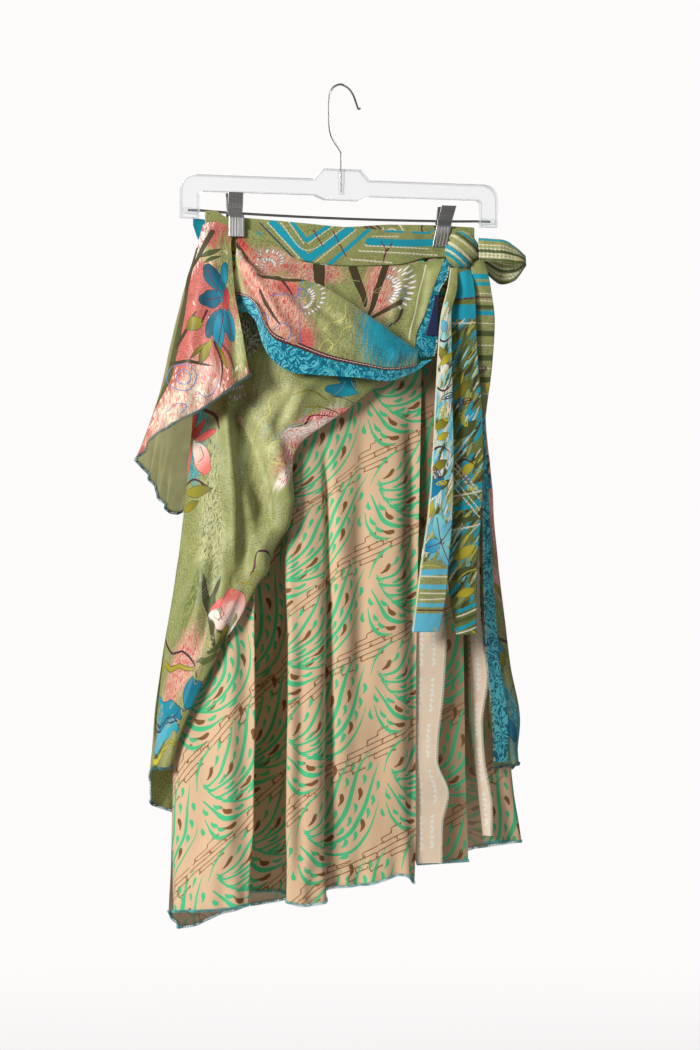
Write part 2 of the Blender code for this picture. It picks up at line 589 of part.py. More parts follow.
def make_outer_layer(printed, border):
    rows = outer_rows()
    last = len(rows[0]) - 1
    drape = surface(rows, 16, 18, stations=(0, OUTER_LEFT))
    back = surface(rows, 16, 24, stations=(OUTER_LEFT, last))
    wall("outer_drape", trimmed(drape, last=pinched(len(drape)), top=SEAM), printed)
    wall("outer_back", trimmed(back, first=pinched(len(back))), printed)
    strip = surface(rows, 14, 2, levels=BORDER_LEVELS, stations=(last - BORDER_WIDTH, last))
    wall("right_border", raised(strip, LAID_ON + SEAM), border)


# ---------------------------------------------------------------- front lap, swag and corner
def make_front_lap(printed, border, label):
    rows = []
    steps = len(LAP_EDGE) - 1
    for number, lv in enumerate(LAP_EDGE):
        share = number / steps
        row = [(lv.strip_right, lv.y, lv.right_z), (lv.strip_left, lv.y, lv.left_z)]
        for station in LAP:
            top = np.array((station.top_x, station.top_y, station.top_z), float)
            foot = np.array((station.foot_x, station.foot_y, station.foot_z), float)
            point = top + (foot - top) * share
            point[1] = top[1] + (foot[1] - top[1]) * share**LAP_FLARE
            row.append(point)
        rows.append(row)
    cloth = surface(rows, 7, 12, stations=(1, len(LAP) + 1))
    strip = surface(rows, 10, 2, stations=(0, 1))
    wall("outer_yoke", trimmed(cloth, first=2 * SEAM_TRIM, foot=SEAM), printed)
    wall("edge_border", trimmed(strip, last=SEAM_TRIM), border)
    patch = surface(rows, 4, 2, levels=LABEL_LEVELS, stations=LABEL_SHARES)
    wall("label", raised(patch, LAID_ON), label, 1.0)


def make_swag(printed, border):
    back, down = SWAG_ROLL
    turned = [(s.top_x, s.top_y * (1 - back), s.top_z + down) for s in SWAG]
    clipped = SWAG[-1]
    turned[-1] = (clipped.top_x, clipped.top_y * (1 - back), clipped.top_z + down / 2)
    rows = [turned,
            [(s.top_x, s.top_y, s.top_z) for s in SWAG],
            [((s.top_x + s.braid_x) / 2, (s.top_y + s.braid_y) / 2 - SWAG_BELLY, (s.top_z + s.braid_z) / 2)
             for s in SWAG],
            [(s.braid_x, s.braid_y, s.braid_z) for s in SWAG],
            [(s.hem_x, s.hem_y, s.hem_z) for s in SWAG]]
    last = len(SWAG) - 1
    cloth = surface(rows, 9, 24, levels=(0, 3), stations=(1, last))
    strip = surface(rows, 3, 27, levels=(3, 4), stations=(0, last))
    wall("outer_swag", trimmed(cloth, foot=SEAM_TRIM), printed)
    wall("swag_border", trimmed(strip, top=SEAM_TRIM), border)


def make_flap(printed, reverse):
    flap = surface(FLAP, 12, 12)
    under = surface(UNDER_FLAP, 9, 10)
    wall("outer_flap", flap, printed)
    wall("outer_flap_under", trimmed(under, first=2 * SEAM_TRIM), reverse)


# ---------------------------------------------------------------- ties
def tie_surface(levels, down, across):
    rows = [[(lv.right, lv.y, lv.z), ((lv.left + lv.right) / 2, lv.y - TIE_BELLY, lv.z),
             (lv.left, lv.y, lv.z)] for lv in levels]
    return surface(rows, down, across)


def make_ties(finish):
    wall("tie_front", tie_surface(TIE_FRONT, 18, 2), finish, TIE_PLY)
    wall("tie_back", tie_surface(TIE_BACK, 18, 2), finish, TIE_PLY)
    wall("tie_fall", tie_surface(TIE_FALL, 26, 2), finish, CLOTH)
    loop = [[section.top, section.foot] for section in TIE_LOOP]
    wall("tie_loop", surface(np.swapaxes(loop, 0, 1), 3, 20), finish, CLOTH)

    bpy.ops.mesh.primitive_uv_sphere_add(segments=16, ring_count=10, radius=1)
    knot = bpy.context.object
    knot.name = knot.data.name = "tie_knot"
    for vertex in knot.data.vertices:
        slant = vertex.co.x * KNOT_SLANT[0] + vertex.co.z * KNOT_SLANT[1]
        squeeze = 1 - KNOT_GROOVE * math.exp(-(slant / KNOT_GROOVE_WIDTH) ** 2)
        for axis in range(3):
            vertex.co[axis] = (KNOT_CENTRE[axis] + vertex.co[axis] * KNOT_RADII[axis] * squeeze) * MM
    knot.data.shade_smooth()
    for owner in list(knot.users_collection):
        owner.objects.unlink(knot)
    collection.objects.link(knot)
    knot.data.materials.append(finish)


for leftover in list(bpy.data.objects):
    bpy.data.objects.remove(leftover)
collection = bpy.data.collections.new("wrap skirt on a clip hanger")
cutters = bpy.data.collections.new("cutters")
bpy.context.scene.collection.children.link(collection)
bpy.context.scene.collection.children.link(cutters)

satin = material("printed satin", GREEN, 0.4)
crepe = material("printed crepe", TAN, 0.7)
selvage = material("pale reverse", CREAM, 0.8)
border_silk = material("border silk", TURQUOISE, 0.5)
woven_label = material("woven label", NAVY, 0.7)
clear_plastic = material("clear plastic", CLEAR, 0.08)
bright_metal = material("bright metal", METAL, 0.25, 1.0)

make_bar(clear_plastic)
make_rod(bright_metal)
make_hook(bright_metal)
make_clip("left", CLIP_LEFT, CLIP_LEFT_X, 0.0, bright_metal)
make_clip("right", CLIP_RIGHT, CLIP_RIGHT_X, CLIP_RIGHT_LEAN, bright_metal)
make_waistband(satin, border_silk)
make_inner_layer(crepe, selvage)
make_outer_layer(satin, border_silk)
make_front_lap(satin, border_silk, woven_label)
make_swag(satin, border_silk)
make_flap(satin, satin)
make_ties(satin)
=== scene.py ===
"""A two-layer silk wrap skirt, tied at the wearer's left and hung from a clear clip hanger.

Objects are in metres, with +Z up and the skirt's front towards -Y. Tables of cloth and of
printed figures are in millimetres.
"""
import math

import bmesh
import bpy
import numpy as np
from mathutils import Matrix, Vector


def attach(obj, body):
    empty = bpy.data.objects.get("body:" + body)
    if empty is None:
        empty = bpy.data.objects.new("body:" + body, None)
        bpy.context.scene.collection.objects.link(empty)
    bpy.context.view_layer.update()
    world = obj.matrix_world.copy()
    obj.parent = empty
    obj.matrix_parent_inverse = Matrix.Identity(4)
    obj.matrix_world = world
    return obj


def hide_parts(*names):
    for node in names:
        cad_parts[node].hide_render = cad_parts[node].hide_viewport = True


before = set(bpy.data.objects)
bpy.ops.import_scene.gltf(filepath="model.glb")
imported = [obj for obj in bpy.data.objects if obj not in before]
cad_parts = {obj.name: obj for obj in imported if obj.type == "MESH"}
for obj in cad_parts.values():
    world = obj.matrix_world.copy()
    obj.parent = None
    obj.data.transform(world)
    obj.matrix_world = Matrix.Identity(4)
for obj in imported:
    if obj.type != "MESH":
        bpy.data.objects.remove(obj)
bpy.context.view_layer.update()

MM = 0.001


# ======================================================================== studio
# A level portrait camera a little to the viewer's left of the front, a large pale floor
# well below the hem, and soft lights: a broad key from the left, a fill and a top light.
camera = bpy.data.objects.new("camera", bpy.data.cameras.new("camera"))
bpy.context.scene.collection.objects.link(camera)
bpy.context.scene.camera = camera
camera.data.lens = 88.7
camera.data.sensor_width = 36
camera_turn = math.radians(-15)
camera_aim = Vector((0.0090, -0.0024, -0.4756))
camera.location = camera_aim + 2.8 * Vector((math.sin(camera_turn), -math.cos(camera_turn), 0))
camera.rotation_euler = (math.radians(90), 0, camera_turn)
camera.data.clip_start, camera.data.clip_end = 0.05, 60
LIGHTS_AIM = Vector((0, 0, -0.5))


def soft_light(name, place, width, power):
    lamp = bpy.data.lights.new(name, "AREA")
    lamp.shape, lamp.size, lamp.size_y = "RECTANGLE", width[0], width[1]
    lamp.energy = power
    holder = bpy.data.objects.new(name, lamp)
    bpy.context.scene.collection.objects.link(holder)
    holder.location = place
    holder.rotation_euler = (LIGHTS_AIM - Vector(place)).to_track_quat("-Z", "Y").to_euler()


soft_light("key", (-2.4, -1.7, 0.5), (0.7, 1.1), 116)
soft_light("fill", (2.6, -1.7, 0.1), (1.2, 1.5), 15)
soft_light("top", (-1.2, -0.9, 1.9), (1.3, 1.0), 22)
soft_light("back", (0.6, 2.6, 0.4), (1.8, 1.8), 30)


def plug(tree, value, socket):
    """Gives a socket a plain value, another node's output or a whole node's first output."""
    if isinstance(value, (bpy.types.Node, bpy.types.NodeSocket)):
        tree.links.new(value.outputs[0] if isinstance(value, bpy.types.Node) else value, socket)
    else:
        socket.default_value = (*value, 1) if socket.type == "RGBA" else value


def add(tree, kind, *in_order, **given):
    """Adds a node, or fills in one that is there. A word in small letters is a setting, and one
    with a capital letter is an input's label; the other values go to the inputs in their order."""
    made = tree.nodes.new(kind if "Node" in kind else "ShaderNode" + kind) if isinstance(kind, str) else kind
    for label, value in given.items():
        if label[0].islower():
            setattr(made, label, value)
    for number, value in enumerate(in_order):
        plug(tree, value, made.inputs[number])
    for label, value in given.items():
        if label[0].isupper():
            plug(tree, value, made.inputs[label.replace("_", " ")])
    return made


def new_finish(name):
    """A material, its tree and its main shader."""
    made = bpy.data.materials.new(name)
    made.use_nodes = True
    return made, made.node_tree, made.node_tree.nodes["Principled BSDF"]


world = bpy.data.worlds.new("pale studio")
bpy.context.scene.world = world
world.use_nodes = True
air = world.node_tree
dim = add(air, air.nodes["Background"], Color=(1.0, 0.985, 0.98), Strength=0.065)
bright = add(air, "Background", Color=(0.985, 0.965, 0.96), Strength=1.0)
seen = add(air, "LightPath").outputs
either = add(air, "Math", seen["Is Camera Ray"], seen["Is Transmission Ray"], operation="MAXIMUM")
add(air, air.nodes["World Output"], Surface=add(air, "MixShader", either, dim, bright))
bpy.context.scene.view_settings.view_transform = "Standard"

floor_mesh = bpy.data.meshes.new("floor")
FLOOR_HEIGHT, FLOOR_REACH, FLOOR_SIDES = -1.42, 9, 64
floor_rim = [(FLOOR_REACH * math.cos(a), FLOOR_REACH * math.sin(a), FLOOR_HEIGHT)
             for a in np.linspace(0, 2 * math.pi, FLOOR_SIDES, endpoint=False)]
floor_mesh.from_pydata(floor_rim, [], [tuple(range(FLOOR_SIDES))])
floor = bpy.data.objects.new("floor", floor_mesh)
bpy.context.scene.collection.objects.link(floor)
pale, tree, paint = new_finish("pale floor")
add(tree, paint, Base_Color=(0.93, 0.92, 0.92), Roughness=0.9)
radius = add(tree, "VectorMath", add(tree, "TexCoord").outputs["Object"], operation="LENGTH")
fade = add(tree, "MapRange", radius.outputs["Value"], 0.5, 3.2, interpolation_type="SMOOTHSTEP")
fading = add(tree, "MixShader", fade, paint, add(tree, "BsdfTransparent"))
add(tree, tree.nodes["Material Output"], Surface=fading)
floor_mesh.materials.append(pale)


# ======================================================================== hanger bar
# A clear moulded bar of I section: a thin web between raised rims, with short legs whose
# sockets hold the rod's ends, and a thick block in the middle that the hook turns in.
BAR_HALF, BAR_TOP, BAR_FOOT, BAR_THICK = 177.5, -102.0, -119.5, 9.0
LEG_INNER, LEG_FOOT, CORNER = 157.0, -148.5, 17.0
BLOCK_TOP, BLOCK_FOOT, BLOCK_FLAT, BLOCK_WIDE = -90.8, -124.4, 21.0, 31.0
RIM, WEB = 2.1, 2.6


def shown(piece):
    """Links a finished piece, and lets it ride on the body that carries it."""
    bpy.context.scene.collection.objects.link(piece)
    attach(piece, "root")
    return piece


def smooth_mesh(name, points, faces):
    """A smooth mesh from points in millimetres."""
    mesh = bpy.data.meshes.new(name)
    mesh.from_pydata([tuple(p) for p in np.asarray(points, float) * MM], [], faces)
    mesh.shade_smooth()
    return mesh


corner_arc = [(BAR_HALF - CORNER * (1 - math.sin(a)), BAR_TOP - CORNER * (1 - math.cos(a)))
              for a in np.radians([0, 15, 30, 45, 60, 75, 90])]
half_bar = [(BLOCK_FLAT, BLOCK_TOP), (BLOCK_WIDE, BAR_TOP), *corner_arc, (BAR_HALF, LEG_FOOT),
            (LEG_INNER, LEG_FOOT), (LEG_INNER, BAR_FOOT - 3), (LEG_INNER - 3, BAR_FOOT),
            (BLOCK_WIDE, BAR_FOOT), (BLOCK_FLAT - 2, BLOCK_FOOT)]
bar_line = half_bar + [(-x, z) for x, z in reversed(half_bar)]
bar_shape = bmesh.new()
front_face = bar_shape.faces.new([bar_shape.verts.new((x * MM, -BAR_THICK / 2 * MM, z * MM))
                                  for x, z in bar_line])
raised = bmesh.ops.extrude_face_region(bar_shape, geom=[front_face])
bmesh.ops.translate(bar_shape, vec=(0, BAR_THICK * MM, 0),
                    verts=[g for g in raised["geom"] if isinstance(g, bmesh.types.BMVert)])
bmesh.ops.recalc_face_normals(bar_shape, faces=bar_shape.faces)
for side in (-1, 1):
    broad = [f for f in bar_shape.faces if f.normal.y * side > 0.9 and len(f.verts) > 8]
    bmesh.ops.inset_region(bar_shape, faces=broad, thickness=RIM * MM, use_even_offset=True)
    for face in broad:
        for vertex in face.verts:
            vertex.co.y -= side * (BAR_THICK - WEB) / 2 * MM
bmesh.ops.triangulate(bar_shape, faces=[f for f in bar_shape.faces if len(f.verts) > 4])


def add_tube(shape, start, end, radius=3.0, wall_end=4.2, sides=20):
    """A closed boss between two points, as wide at its far end as wall_end."""
    start, end = Vector(start) * MM, Vector(end) * MM
    along = (end - start).normalized()
    across = along.orthogonal().normalized()
    other = along.cross(across)
    rings = []
    for centre, wide in ((start, radius), (end, wall_end)):
        rings.append([shape.verts.new(centre + (across * math.cos(a) + other * math.sin(a)) * wide * MM)
                      for a in np.linspace(0, 2 * math.pi, sides, endpoint=False)])
    for k in range(sides):
        shape.faces.new((rings[0][k], rings[0][(k + 1) % sides], rings[1][(k + 1) % sides], rings[1][k]))
    shape.faces.new(list(reversed(rings[0])))
    shape.faces.new(rings[1])


for side in (-1, 1):
    height = -140.6 if side < 0 else -142.6
    add_tube(bar_shape, (side * 175, 0, height), (side * 158, 0, height))
add_tube(bar_shape, (0, 0, -118), (0, 0, -92))
bmesh.ops.recalc_face_normals(bar_shape, faces=bar_shape.faces)
bar_mesh = bpy.data.meshes.new("hanger_bar_clear")
bar_shape.to_mesh(bar_mesh)
bar_shape.free()
clear_bar = shown(bpy.data.objects.new("hanger_bar_clear", bar_mesh))
softened = clear_bar.modifiers.new("soft edges", "BEVEL")
softened.width, softened.segments, softened.limit_method = 0.0005, 2, "ANGLE"
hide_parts("hanger_bar")

plastic, tree, body = new_finish("clear plastic")
ripple = add(tree, "TexNoise", Vector=add(tree, "TexCoord").outputs["Object"], Scale=60)
flow = add(tree, "Bump", Height=ripple.outputs["Fac"], Strength=0.10, Distance=0.001)
add(tree, body, Base_Color=(0.80, 0.82, 0.84), Roughness=0.12, Coat_Weight=0.6, Normal=flow)
rim = add(tree, "LayerWeight", Blend=0.32, Normal=flow)
solid = add(tree, "MapRange", Value=rim.outputs["Facing"], To_Min=0.05, To_Max=0.75)
clear = add(tree, "BsdfTransparent", Color=(0.965, 0.97, 0.975))
add(tree, tree.nodes["Material Output"], Surface=add(tree, "MixShader", solid, clear, body))
bar_mesh.materials.append(plastic)


# ======================================================================== hook and rod
# A chromed steel wire bent to a hook, with a small curled tip, and a thin bright rod
# that sags a little between the bar's legs and carries the clips.
def metal_finish(name, colour, rough):
    """Plated metal with a fine grain in its roughness."""
    made, tree, shader = new_finish(name)
    grain = add(tree, "TexNoise", Vector=add(tree, "TexCoord").outputs["Object"], Scale=900, Detail=3)
    spread = add(tree, "MapRange", Value=grain.outputs["Fac"], To_Min=rough, To_Max=rough + 0.12)
    add(tree, shader, Base_Color=colour, Metallic=1.0, Roughness=spread)
    return made


chrome = metal_finish("chromed wire", (0.62, 0.61, 0.60), 0.22)
for wire_node in ("hanger_hook", "hanger_rod"):
    node_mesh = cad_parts[wire_node].data
    node_mesh.materials.clear()
    node_mesh.materials.append(chrome)


# ======================================================================== clips
# Sprung clips of pressed nickel-plated sheet: a dimpled lever above the rod and fluted jaws
# below it, two plates to a clip. The right one leans, as the knot's weight pulls it.
CLIPS = (
    ("clip_left", -118.5, 0.0, ((-120, -7.5, 7.5), (-132, -5.2, 5.0), (-141, -2.4, 2.4), (-146, -10.4, 3.9),
                                (-168, -10.4, 3.9))),
    ("clip_right", 116.0, math.radians(12), ((-127, -8.2, 8.2), (-136, -5.4, 5.4), (-143, -2.4, 2.4),
                                             (-147, -3.9, 3.9), (-172, -3.9, 3.9))),
)                                      # name, middle x, lean, then z and the plates' y


PLATE_HALF, PLATE_ROWS, PLATE_COLUMNS = 8.25, 64, 28
DIMPLES_DOWN, DIMPLES_ACROSS, FLUTES = 3.1, 3.3, 4.5


def clip_plate(name, node, middle, lean, levels, face, finish):
    """One pressed plate, with dimples in its lever and flutes in its jaw."""
    pivot = levels[2][0]
    heights = np.linspace(levels[0][0], levels[-1][0], PLATE_ROWS)
    depths = np.interp(-heights, [-lv[0] for lv in levels], [lv[1 if face < 0 else 2] for lv in levels])
    points = []
    for z, y in zip(heights, depths):
        for across in np.linspace(PLATE_HALF * -face, -PLATE_HALF * -face, PLATE_COLUMNS):
            if z > pivot + 2.5:
                rows_down, columns = (z - pivot) / DIMPLES_DOWN, (across + PLATE_HALF) / DIMPLES_ACROSS
                off = math.hypot((rows_down % 1 - 0.5) * DIMPLES_DOWN, (columns % 1 - 0.5) * DIMPLES_ACROSS)
                press = 0.45 * math.exp(-(off / 0.75) ** 2)
            elif z < pivot - 5:
                flute = across / (2 * PLATE_HALF) * 2 * math.pi * FLUTES
                press = -0.30 * math.cos(flute) * min(1.0, (pivot - 5 - z) / 2)
            else:
                press = 0.0
            points.append((middle + across + (z - pivot) * math.tan(lean), y - face * press * 0.9, z))
    faces = [(k, k + 1, k + PLATE_COLUMNS + 1, k + PLATE_COLUMNS)
             for k in range((PLATE_ROWS - 1) * PLATE_COLUMNS) if (k + 1) % PLATE_COLUMNS]
    plate = shown(bpy.data.objects.new(name, smooth_mesh(name, points, faces)))
    sheet_metal = plate.modifiers.new("sheet metal", "SOLIDIFY")
    sheet_metal.thickness, sheet_metal.offset = 0.9 * MM, 0
    plate.data.materials.append(finish)
    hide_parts(node)


# The same nickel plate in two tones: the left clip's front plate is painted lighter, as painted light, and
# the other three plates darker, as painted shade.
nickel_painted_light = metal_finish("nickel plate painted light", (0.72, 0.71, 0.70), 0.30)
nickel_painted_shade = metal_finish("nickel plate painted shade", (0.46, 0.45, 0.44), 0.34)
for side, middle, lean, levels in CLIPS:
    for face, part in ((-1, "front"), (1, "back")):
        clip_plate(f"{side}_{part}_plate", f"{side}_{part}", middle, lean, levels, face,
                   nickel_painted_light if side == "clip_left" and part == "front" else nickel_painted_shade)


# ======================================================================== cloth of the under layer
# The long under layer is one wrap of tan silk crepe, printed with green plumes between
# bands of brown maze lines. It hangs from the waistband in soft rolls, and is overlocked.
def smooth(values, at):
    """A soft curve through rows of values, which never swings past them."""
    values = np.asarray(values, float)
    last = len(values) - 1
    at = np.clip(np.asarray(at, float), 0, last)
    step = np.diff(values, axis=0)
    slope = np.zeros_like(values)
    before, after = step[:-1], step[1:]
    same_way = before * after > 0
    total = np.where(same_way, before + after, 1.0)
    slope[1:-1] = np.where(same_way, 2 * before * after / total, 0.0)
    slope[0], slope[-1] = step[0], step[-1]
    index = np.minimum(at.astype(int), last - 1)
    t = (at - index).reshape((-1,) + (1,) * (values.ndim - 1))
    start, end = values[index], values[index + 1]
    return ((2 * t**3 - 3 * t**2 + 1) * start + (t**3 - 2 * t**2 + t) * slope[index]
            + (3 * t**2 - 2 * t**3) * end + (t**3 - t**2) * slope[index + 1])


def evenly(grid, count):
    """The same grid with count spaces along each row, all alike in length."""
    reach = np.linalg.norm(np.diff(grid, axis=1), axis=2)
    run = np.concatenate([np.zeros((len(grid), 1)), np.cumsum(reach, axis=1)], axis=1)
    out = np.empty((len(grid), count + 1, 3))
    for number, row in enumerate(grid):
        at = np.linspace(0, run[number, -1], count + 1)
        for axis in range(3):
            out[number, :, axis] = np.interp(at, run[number], row[:, axis])
    return out


class Cloth:
    """A sheet of cloth: a grid of points, and where each lies on the flat cloth in millimetres."""
    FINE_DOWN, FINE_ACROSS = 260, 420

    def __init__(self, rows, spacing, levels=None, stations=None, home=0.0, start=(0.0, 0.0)):
        rows = np.asarray(rows, float)
        levels = levels or (0, rows.shape[0] - 1)
        stations = stations or (0, rows.shape[1] - 1)
        grid = smooth(rows, np.linspace(*levels, self.FINE_DOWN))
        grid = np.swapaxes(smooth(np.swapaxes(grid, 0, 1), np.linspace(*stations, self.FINE_ACROSS)), 0, 1)
        width = np.linalg.norm(np.diff(grid, axis=1), axis=2).sum(1).max()
        depth = np.linalg.norm(np.diff(grid, axis=0), axis=2).sum(0).max()
        grid = evenly(grid, max(2, round(width / spacing)))
        grid = np.swapaxes(evenly(np.swapaxes(grid, 0, 1), max(2, round(depth / spacing))), 0, 1)
        self.points = grid
        self.home, self.start = home, start
        self.spread()

    def spread(self):
        """Finds u, to the right, and v, downwards, on the flat cloth."""
        grid = self.points
        across = np.linalg.norm(np.diff(grid, axis=1), axis=2)
        run = np.concatenate([np.zeros((len(grid), 1)), np.cumsum(across, axis=1)], axis=1)
        down = np.linalg.norm(np.diff(grid, axis=0), axis=2)
        drop = np.concatenate([np.zeros((1, grid.shape[1])), np.cumsum(down, axis=0)], axis=0)
        column = round(self.home * (grid.shape[1] - 1))
        self.u = self.start[0] - (run - run[:, column:column + 1])
        self.v = self.start[1] + drop + (grid[0, column, 2] - grid[0, :, 2])[None, :]

    def normals(self):
        along = np.gradient(self.points, axis=1)
        below = np.gradient(self.points, axis=0)
        normal = np.cross(along, below)
        return normal / np.maximum(np.linalg.norm(normal, axis=2, keepdims=True), 1e-9)

    def crease(self, creases):
        """Soft ridges and troughs: half width, height, perhaps a slide along the row, x,z of points."""
        x, z = self.points[:, :, 0].ravel(), self.points[:, :, 2].ravel()
        lift, slid = np.zeros(x.size), np.zeros(x.size)
        for words, line in table(creases):
            half_width, height, slide = (*map(float, words), 0.0)[:3]
            far, _, along = from_line(x, z, line)
            ends = np.clip(np.minimum(along, 1 - along) * 5, 0, 1)
            rise = np.exp(-(far / half_width) ** 2) * ends * ends * (3 - 2 * ends)
            lift += height * rise
            slid += slide * rise
        size, along = self.points.shape[:2], np.gradient(self.points, axis=1)
        along = along / np.linalg.norm(along, axis=2, keepdims=True)
        lifted = self.points + self.normals() * lift.reshape(*size, 1) + along * slid.reshape(*size, 1)
        self.points = evenly(lifted, lifted.shape[1] - 1)
        self.spread()

    def wrinkle(self, height, length, seed):
        """Uneven drape: slow waves across the cloth, longer down it than across."""
        rng = np.random.default_rng(seed)
        u, v = self.u, self.v
        lift = np.zeros_like(u)
        for number in range(7):
            long = length * (0.6 + 0.22 * number)
            turn, shift = rng.uniform(-0.25, 0.25), rng.uniform(0, 6.28, 2)
            wave = np.sin((u + turn * v) / long * 6.28 + shift[0])
            lift += wave * (0.55 + 0.45 * np.sin(v / (long * 3.1) * 6.28 + shift[1])) / 7
        self.raise_by((height * 2 * lift)[:, :, None])

    def ruffle(self, height, length, reach, seed):
        """Lets an edge flare in uneven small waves, which fade out over the given reach."""
        rng = np.random.default_rng(seed)
        shift = rng.uniform(0, 6.28, 4)
        run = self.u - self.u[:, :1]
        wave = (np.sin(run / length * 6.28 + shift[0]) + 0.6 * np.sin(run / (length * 0.61) * 6.28 + shift[1])
                + 0.5 * np.sin(run / (length * 2.3) * 6.28 + shift[2]))
        away = np.abs(self.v - self.v[-1][None, :])
        fade = np.exp(-(away / reach) ** 1.5)
        self.raise_by((height * wave * fade)[:, :, None])

    def column(self, number):
        """Every third point of a column, where it lies on the flat cloth."""
        return np.c_[self.u[:, number], self.v[:, number]][::3]

    def raise_by(self, height):
        """Lays the sheet that far above the one it was made from."""
        self.points = self.points + self.normals() * height

    def place(self, x, z):
        """Where on the flat cloth a point seen at x and z lies."""
        far = (self.points[:, :, 0] - x) ** 2 + (self.points[:, :, 2] - z) ** 2
        spot = np.unravel_index(np.argmin(far), far.shape)
        return self.u[spot], self.v[spot]


def from_line(u, v, line):
    """Distance from a line of points, the side it lies on, and how far along it is (0 to 1)."""
    a, b = line[:-1], line[1:]
    way = b - a
    size = np.maximum((way ** 2).sum(1), 1e-9)
    t = ((u[:, None] - a[:, 0]) * way[:, 0] + (v[:, None] - a[:, 1]) * way[:, 1]) / size
    t = np.clip(t, 0, 1)
    du = u[:, None] - a[:, 0] - t * way[:, 0]
    dv = v[:, None] - a[:, 1] - t * way[:, 1]
    far = np.hypot(du, dv)
    best = far.argmin(1)
    row = np.arange(len(u))
    side = np.sign(way[best, 0] * dv[row, best] - way[best, 1] * du[row, best])
    return far[row, best], side, (best + t[row, best]) / len(way)


def table(text):
    """Rows of a text table, parted by semicolons and line ends: words, then points."""
    for row in text.strip().replace(";", "\n").splitlines():
        words = row.split()
        yield ([word for word in words if "," not in word],
               np.array([[float(n) for n in word.split(",")] for word in words if "," in word]))


class Print:
    """What is printed on a sheet: a wash, two layers of shapes, thin lines and fine streaks.

    A shape keeps how far each point lies inside its edge, so that its outline stays crisp
    between the points."""
    FAR = 9.0

    def __init__(self, cloth, ground):
        self.cloth = cloth
        self.u, self.v = cloth.u.ravel(), cloth.v.ravel()
        count = self.u.size
        self.wash = np.tile(np.asarray(ground, float), (count, 1))
        self.streak = np.tile(np.asarray(ground, float), (count, 1))
        self.streak_amount = np.zeros(count)
        self.edge = {name: np.full(count, self.FAR) for name in ("low", "high")}
        self.ink = {name: np.zeros((count, 3)) for name in ("low", "high")}
        self.line_side = np.full(count, self.FAR)
        self.line_far = np.full(count, self.FAR)
        self.line_ink = np.zeros((count, 3))

    def close_to(self, line, margin):
        low, high = line.min(0) - margin, line.max(0) + margin
        return np.flatnonzero((self.u > low[0]) & (self.u < high[0])
                              & (self.v > low[1]) & (self.v < high[1]))

    def shape(self, line, widths, ink, layer="low", tip=None):
        """A stroke, leaf or petal: a line with half widths along it, from ink to tip."""
        line = np.asarray(line, float)
        widths = np.asarray(widths, float)
        spots = self.close_to(line, widths.max() + 5)
        if not len(spots):
            return
        far, _, along = from_line(self.u[spots], self.v[spots], line)
        edge = far - np.interp(along, np.linspace(0, 1, len(widths)), widths)
        mine = (edge < 0) | (edge < self.edge[layer][spots])
        spots, edge, along = spots[mine], edge[mine], along[mine, None]
        self.edge[layer][spots] = edge
        start, end = np.asarray(ink, float), np.asarray(ink if tip is None else tip, float)
        self.ink[layer][spots] = start + (end - start) * along

    def thin(self, line, ink, half_widths):
        """A thin or tapered line, which keeps its side so that it stays whole between the points."""
        line = np.asarray(line, float)
        widths = np.atleast_1d(np.asarray(half_widths, float))
        spots = self.close_to(line, widths.max() + 4)
        if not len(spots):
            return
        far, side, along = from_line(self.u[spots], self.v[spots], line)
        wide = np.interp(along, np.linspace(0, 1, len(widths)), widths)
        mine = far - wide < self.line_far[spots]
        spots, far, side, wide = spots[mine], far[mine], side[mine], wide[mine]
        self.line_far[spots] = far - wide
        self.line_side[spots] = np.clip(far * side / wide, -self.FAR, self.FAR)
        self.line_ink[spots] = ink

    def dashes(self, line, ink, half_width, step=4.4):
        """A woven line of short dashes."""
        line = np.asarray(line, float)
        run = np.concatenate(([0], np.cumsum(np.hypot(*np.diff(line, axis=0).T))))
        for start in np.arange(0, run[-1] - 1.5, step):
            at = (start, start + 0.3 * step)
            self.thin(np.c_[np.interp(at, run, line[:, 0]), np.interp(at, run, line[:, 1])], ink, half_width)

    def patch(self, centre, radii, turn, ink, soft, streak, amount):
        """A soft-edged wash of colour, which carries some fine streaks."""
        du, dv = self.u - centre[0], self.v - centre[1]
        c, s = math.cos(turn), math.sin(turn)
        far = np.hypot((du * c + dv * s) / radii[0], (dv * c - du * s) / radii[1])
        brushed = (np.sin(self.u * 1.7 + 2.2 * np.sin(self.v * 0.11)) * np.sin(self.v * 0.23 + self.u * 0.31)
                   + 0.6 * np.sin(self.u * 0.83 + self.v * 0.07))
        cover = np.clip((1 + soft - far + 0.22 * brushed) / (2 * soft), 0, 1)
        cover = cover * cover * (3 - 2 * cover)
        self.wash += (np.asarray(ink, float) - self.wash) * cover[:, None]
        self.streak += (np.asarray(streak, float) - self.streak) * cover[:, None]
        self.streak_amount += (amount - self.streak_amount) * cover

    def store(self, mesh):
        """Writes the print to the mesh's points."""
        stored = {"wash": self.wash, "streak": self.streak, "low_ink": self.ink["low"],
                  "high_ink": self.ink["high"], "line_ink": self.line_ink, "low_edge": self.edge["low"],
                  "high_edge": self.edge["high"], "line_side": self.line_side, "line_far": self.line_far,
                  "streak_amount": self.streak_amount}
        for name, data in stored.items():
            if data.ndim == 2:
                kept = mesh.attributes.new(name, "FLOAT_COLOR", "POINT")
                kept.data.foreach_set("color", np.c_[np.clip(data, 0, 1), np.ones(len(data))].ravel())
            else:
                kept = mesh.attributes.new(name, "FLOAT", "POINT")
                kept.data.foreach_set("value", data.astype(np.float32))


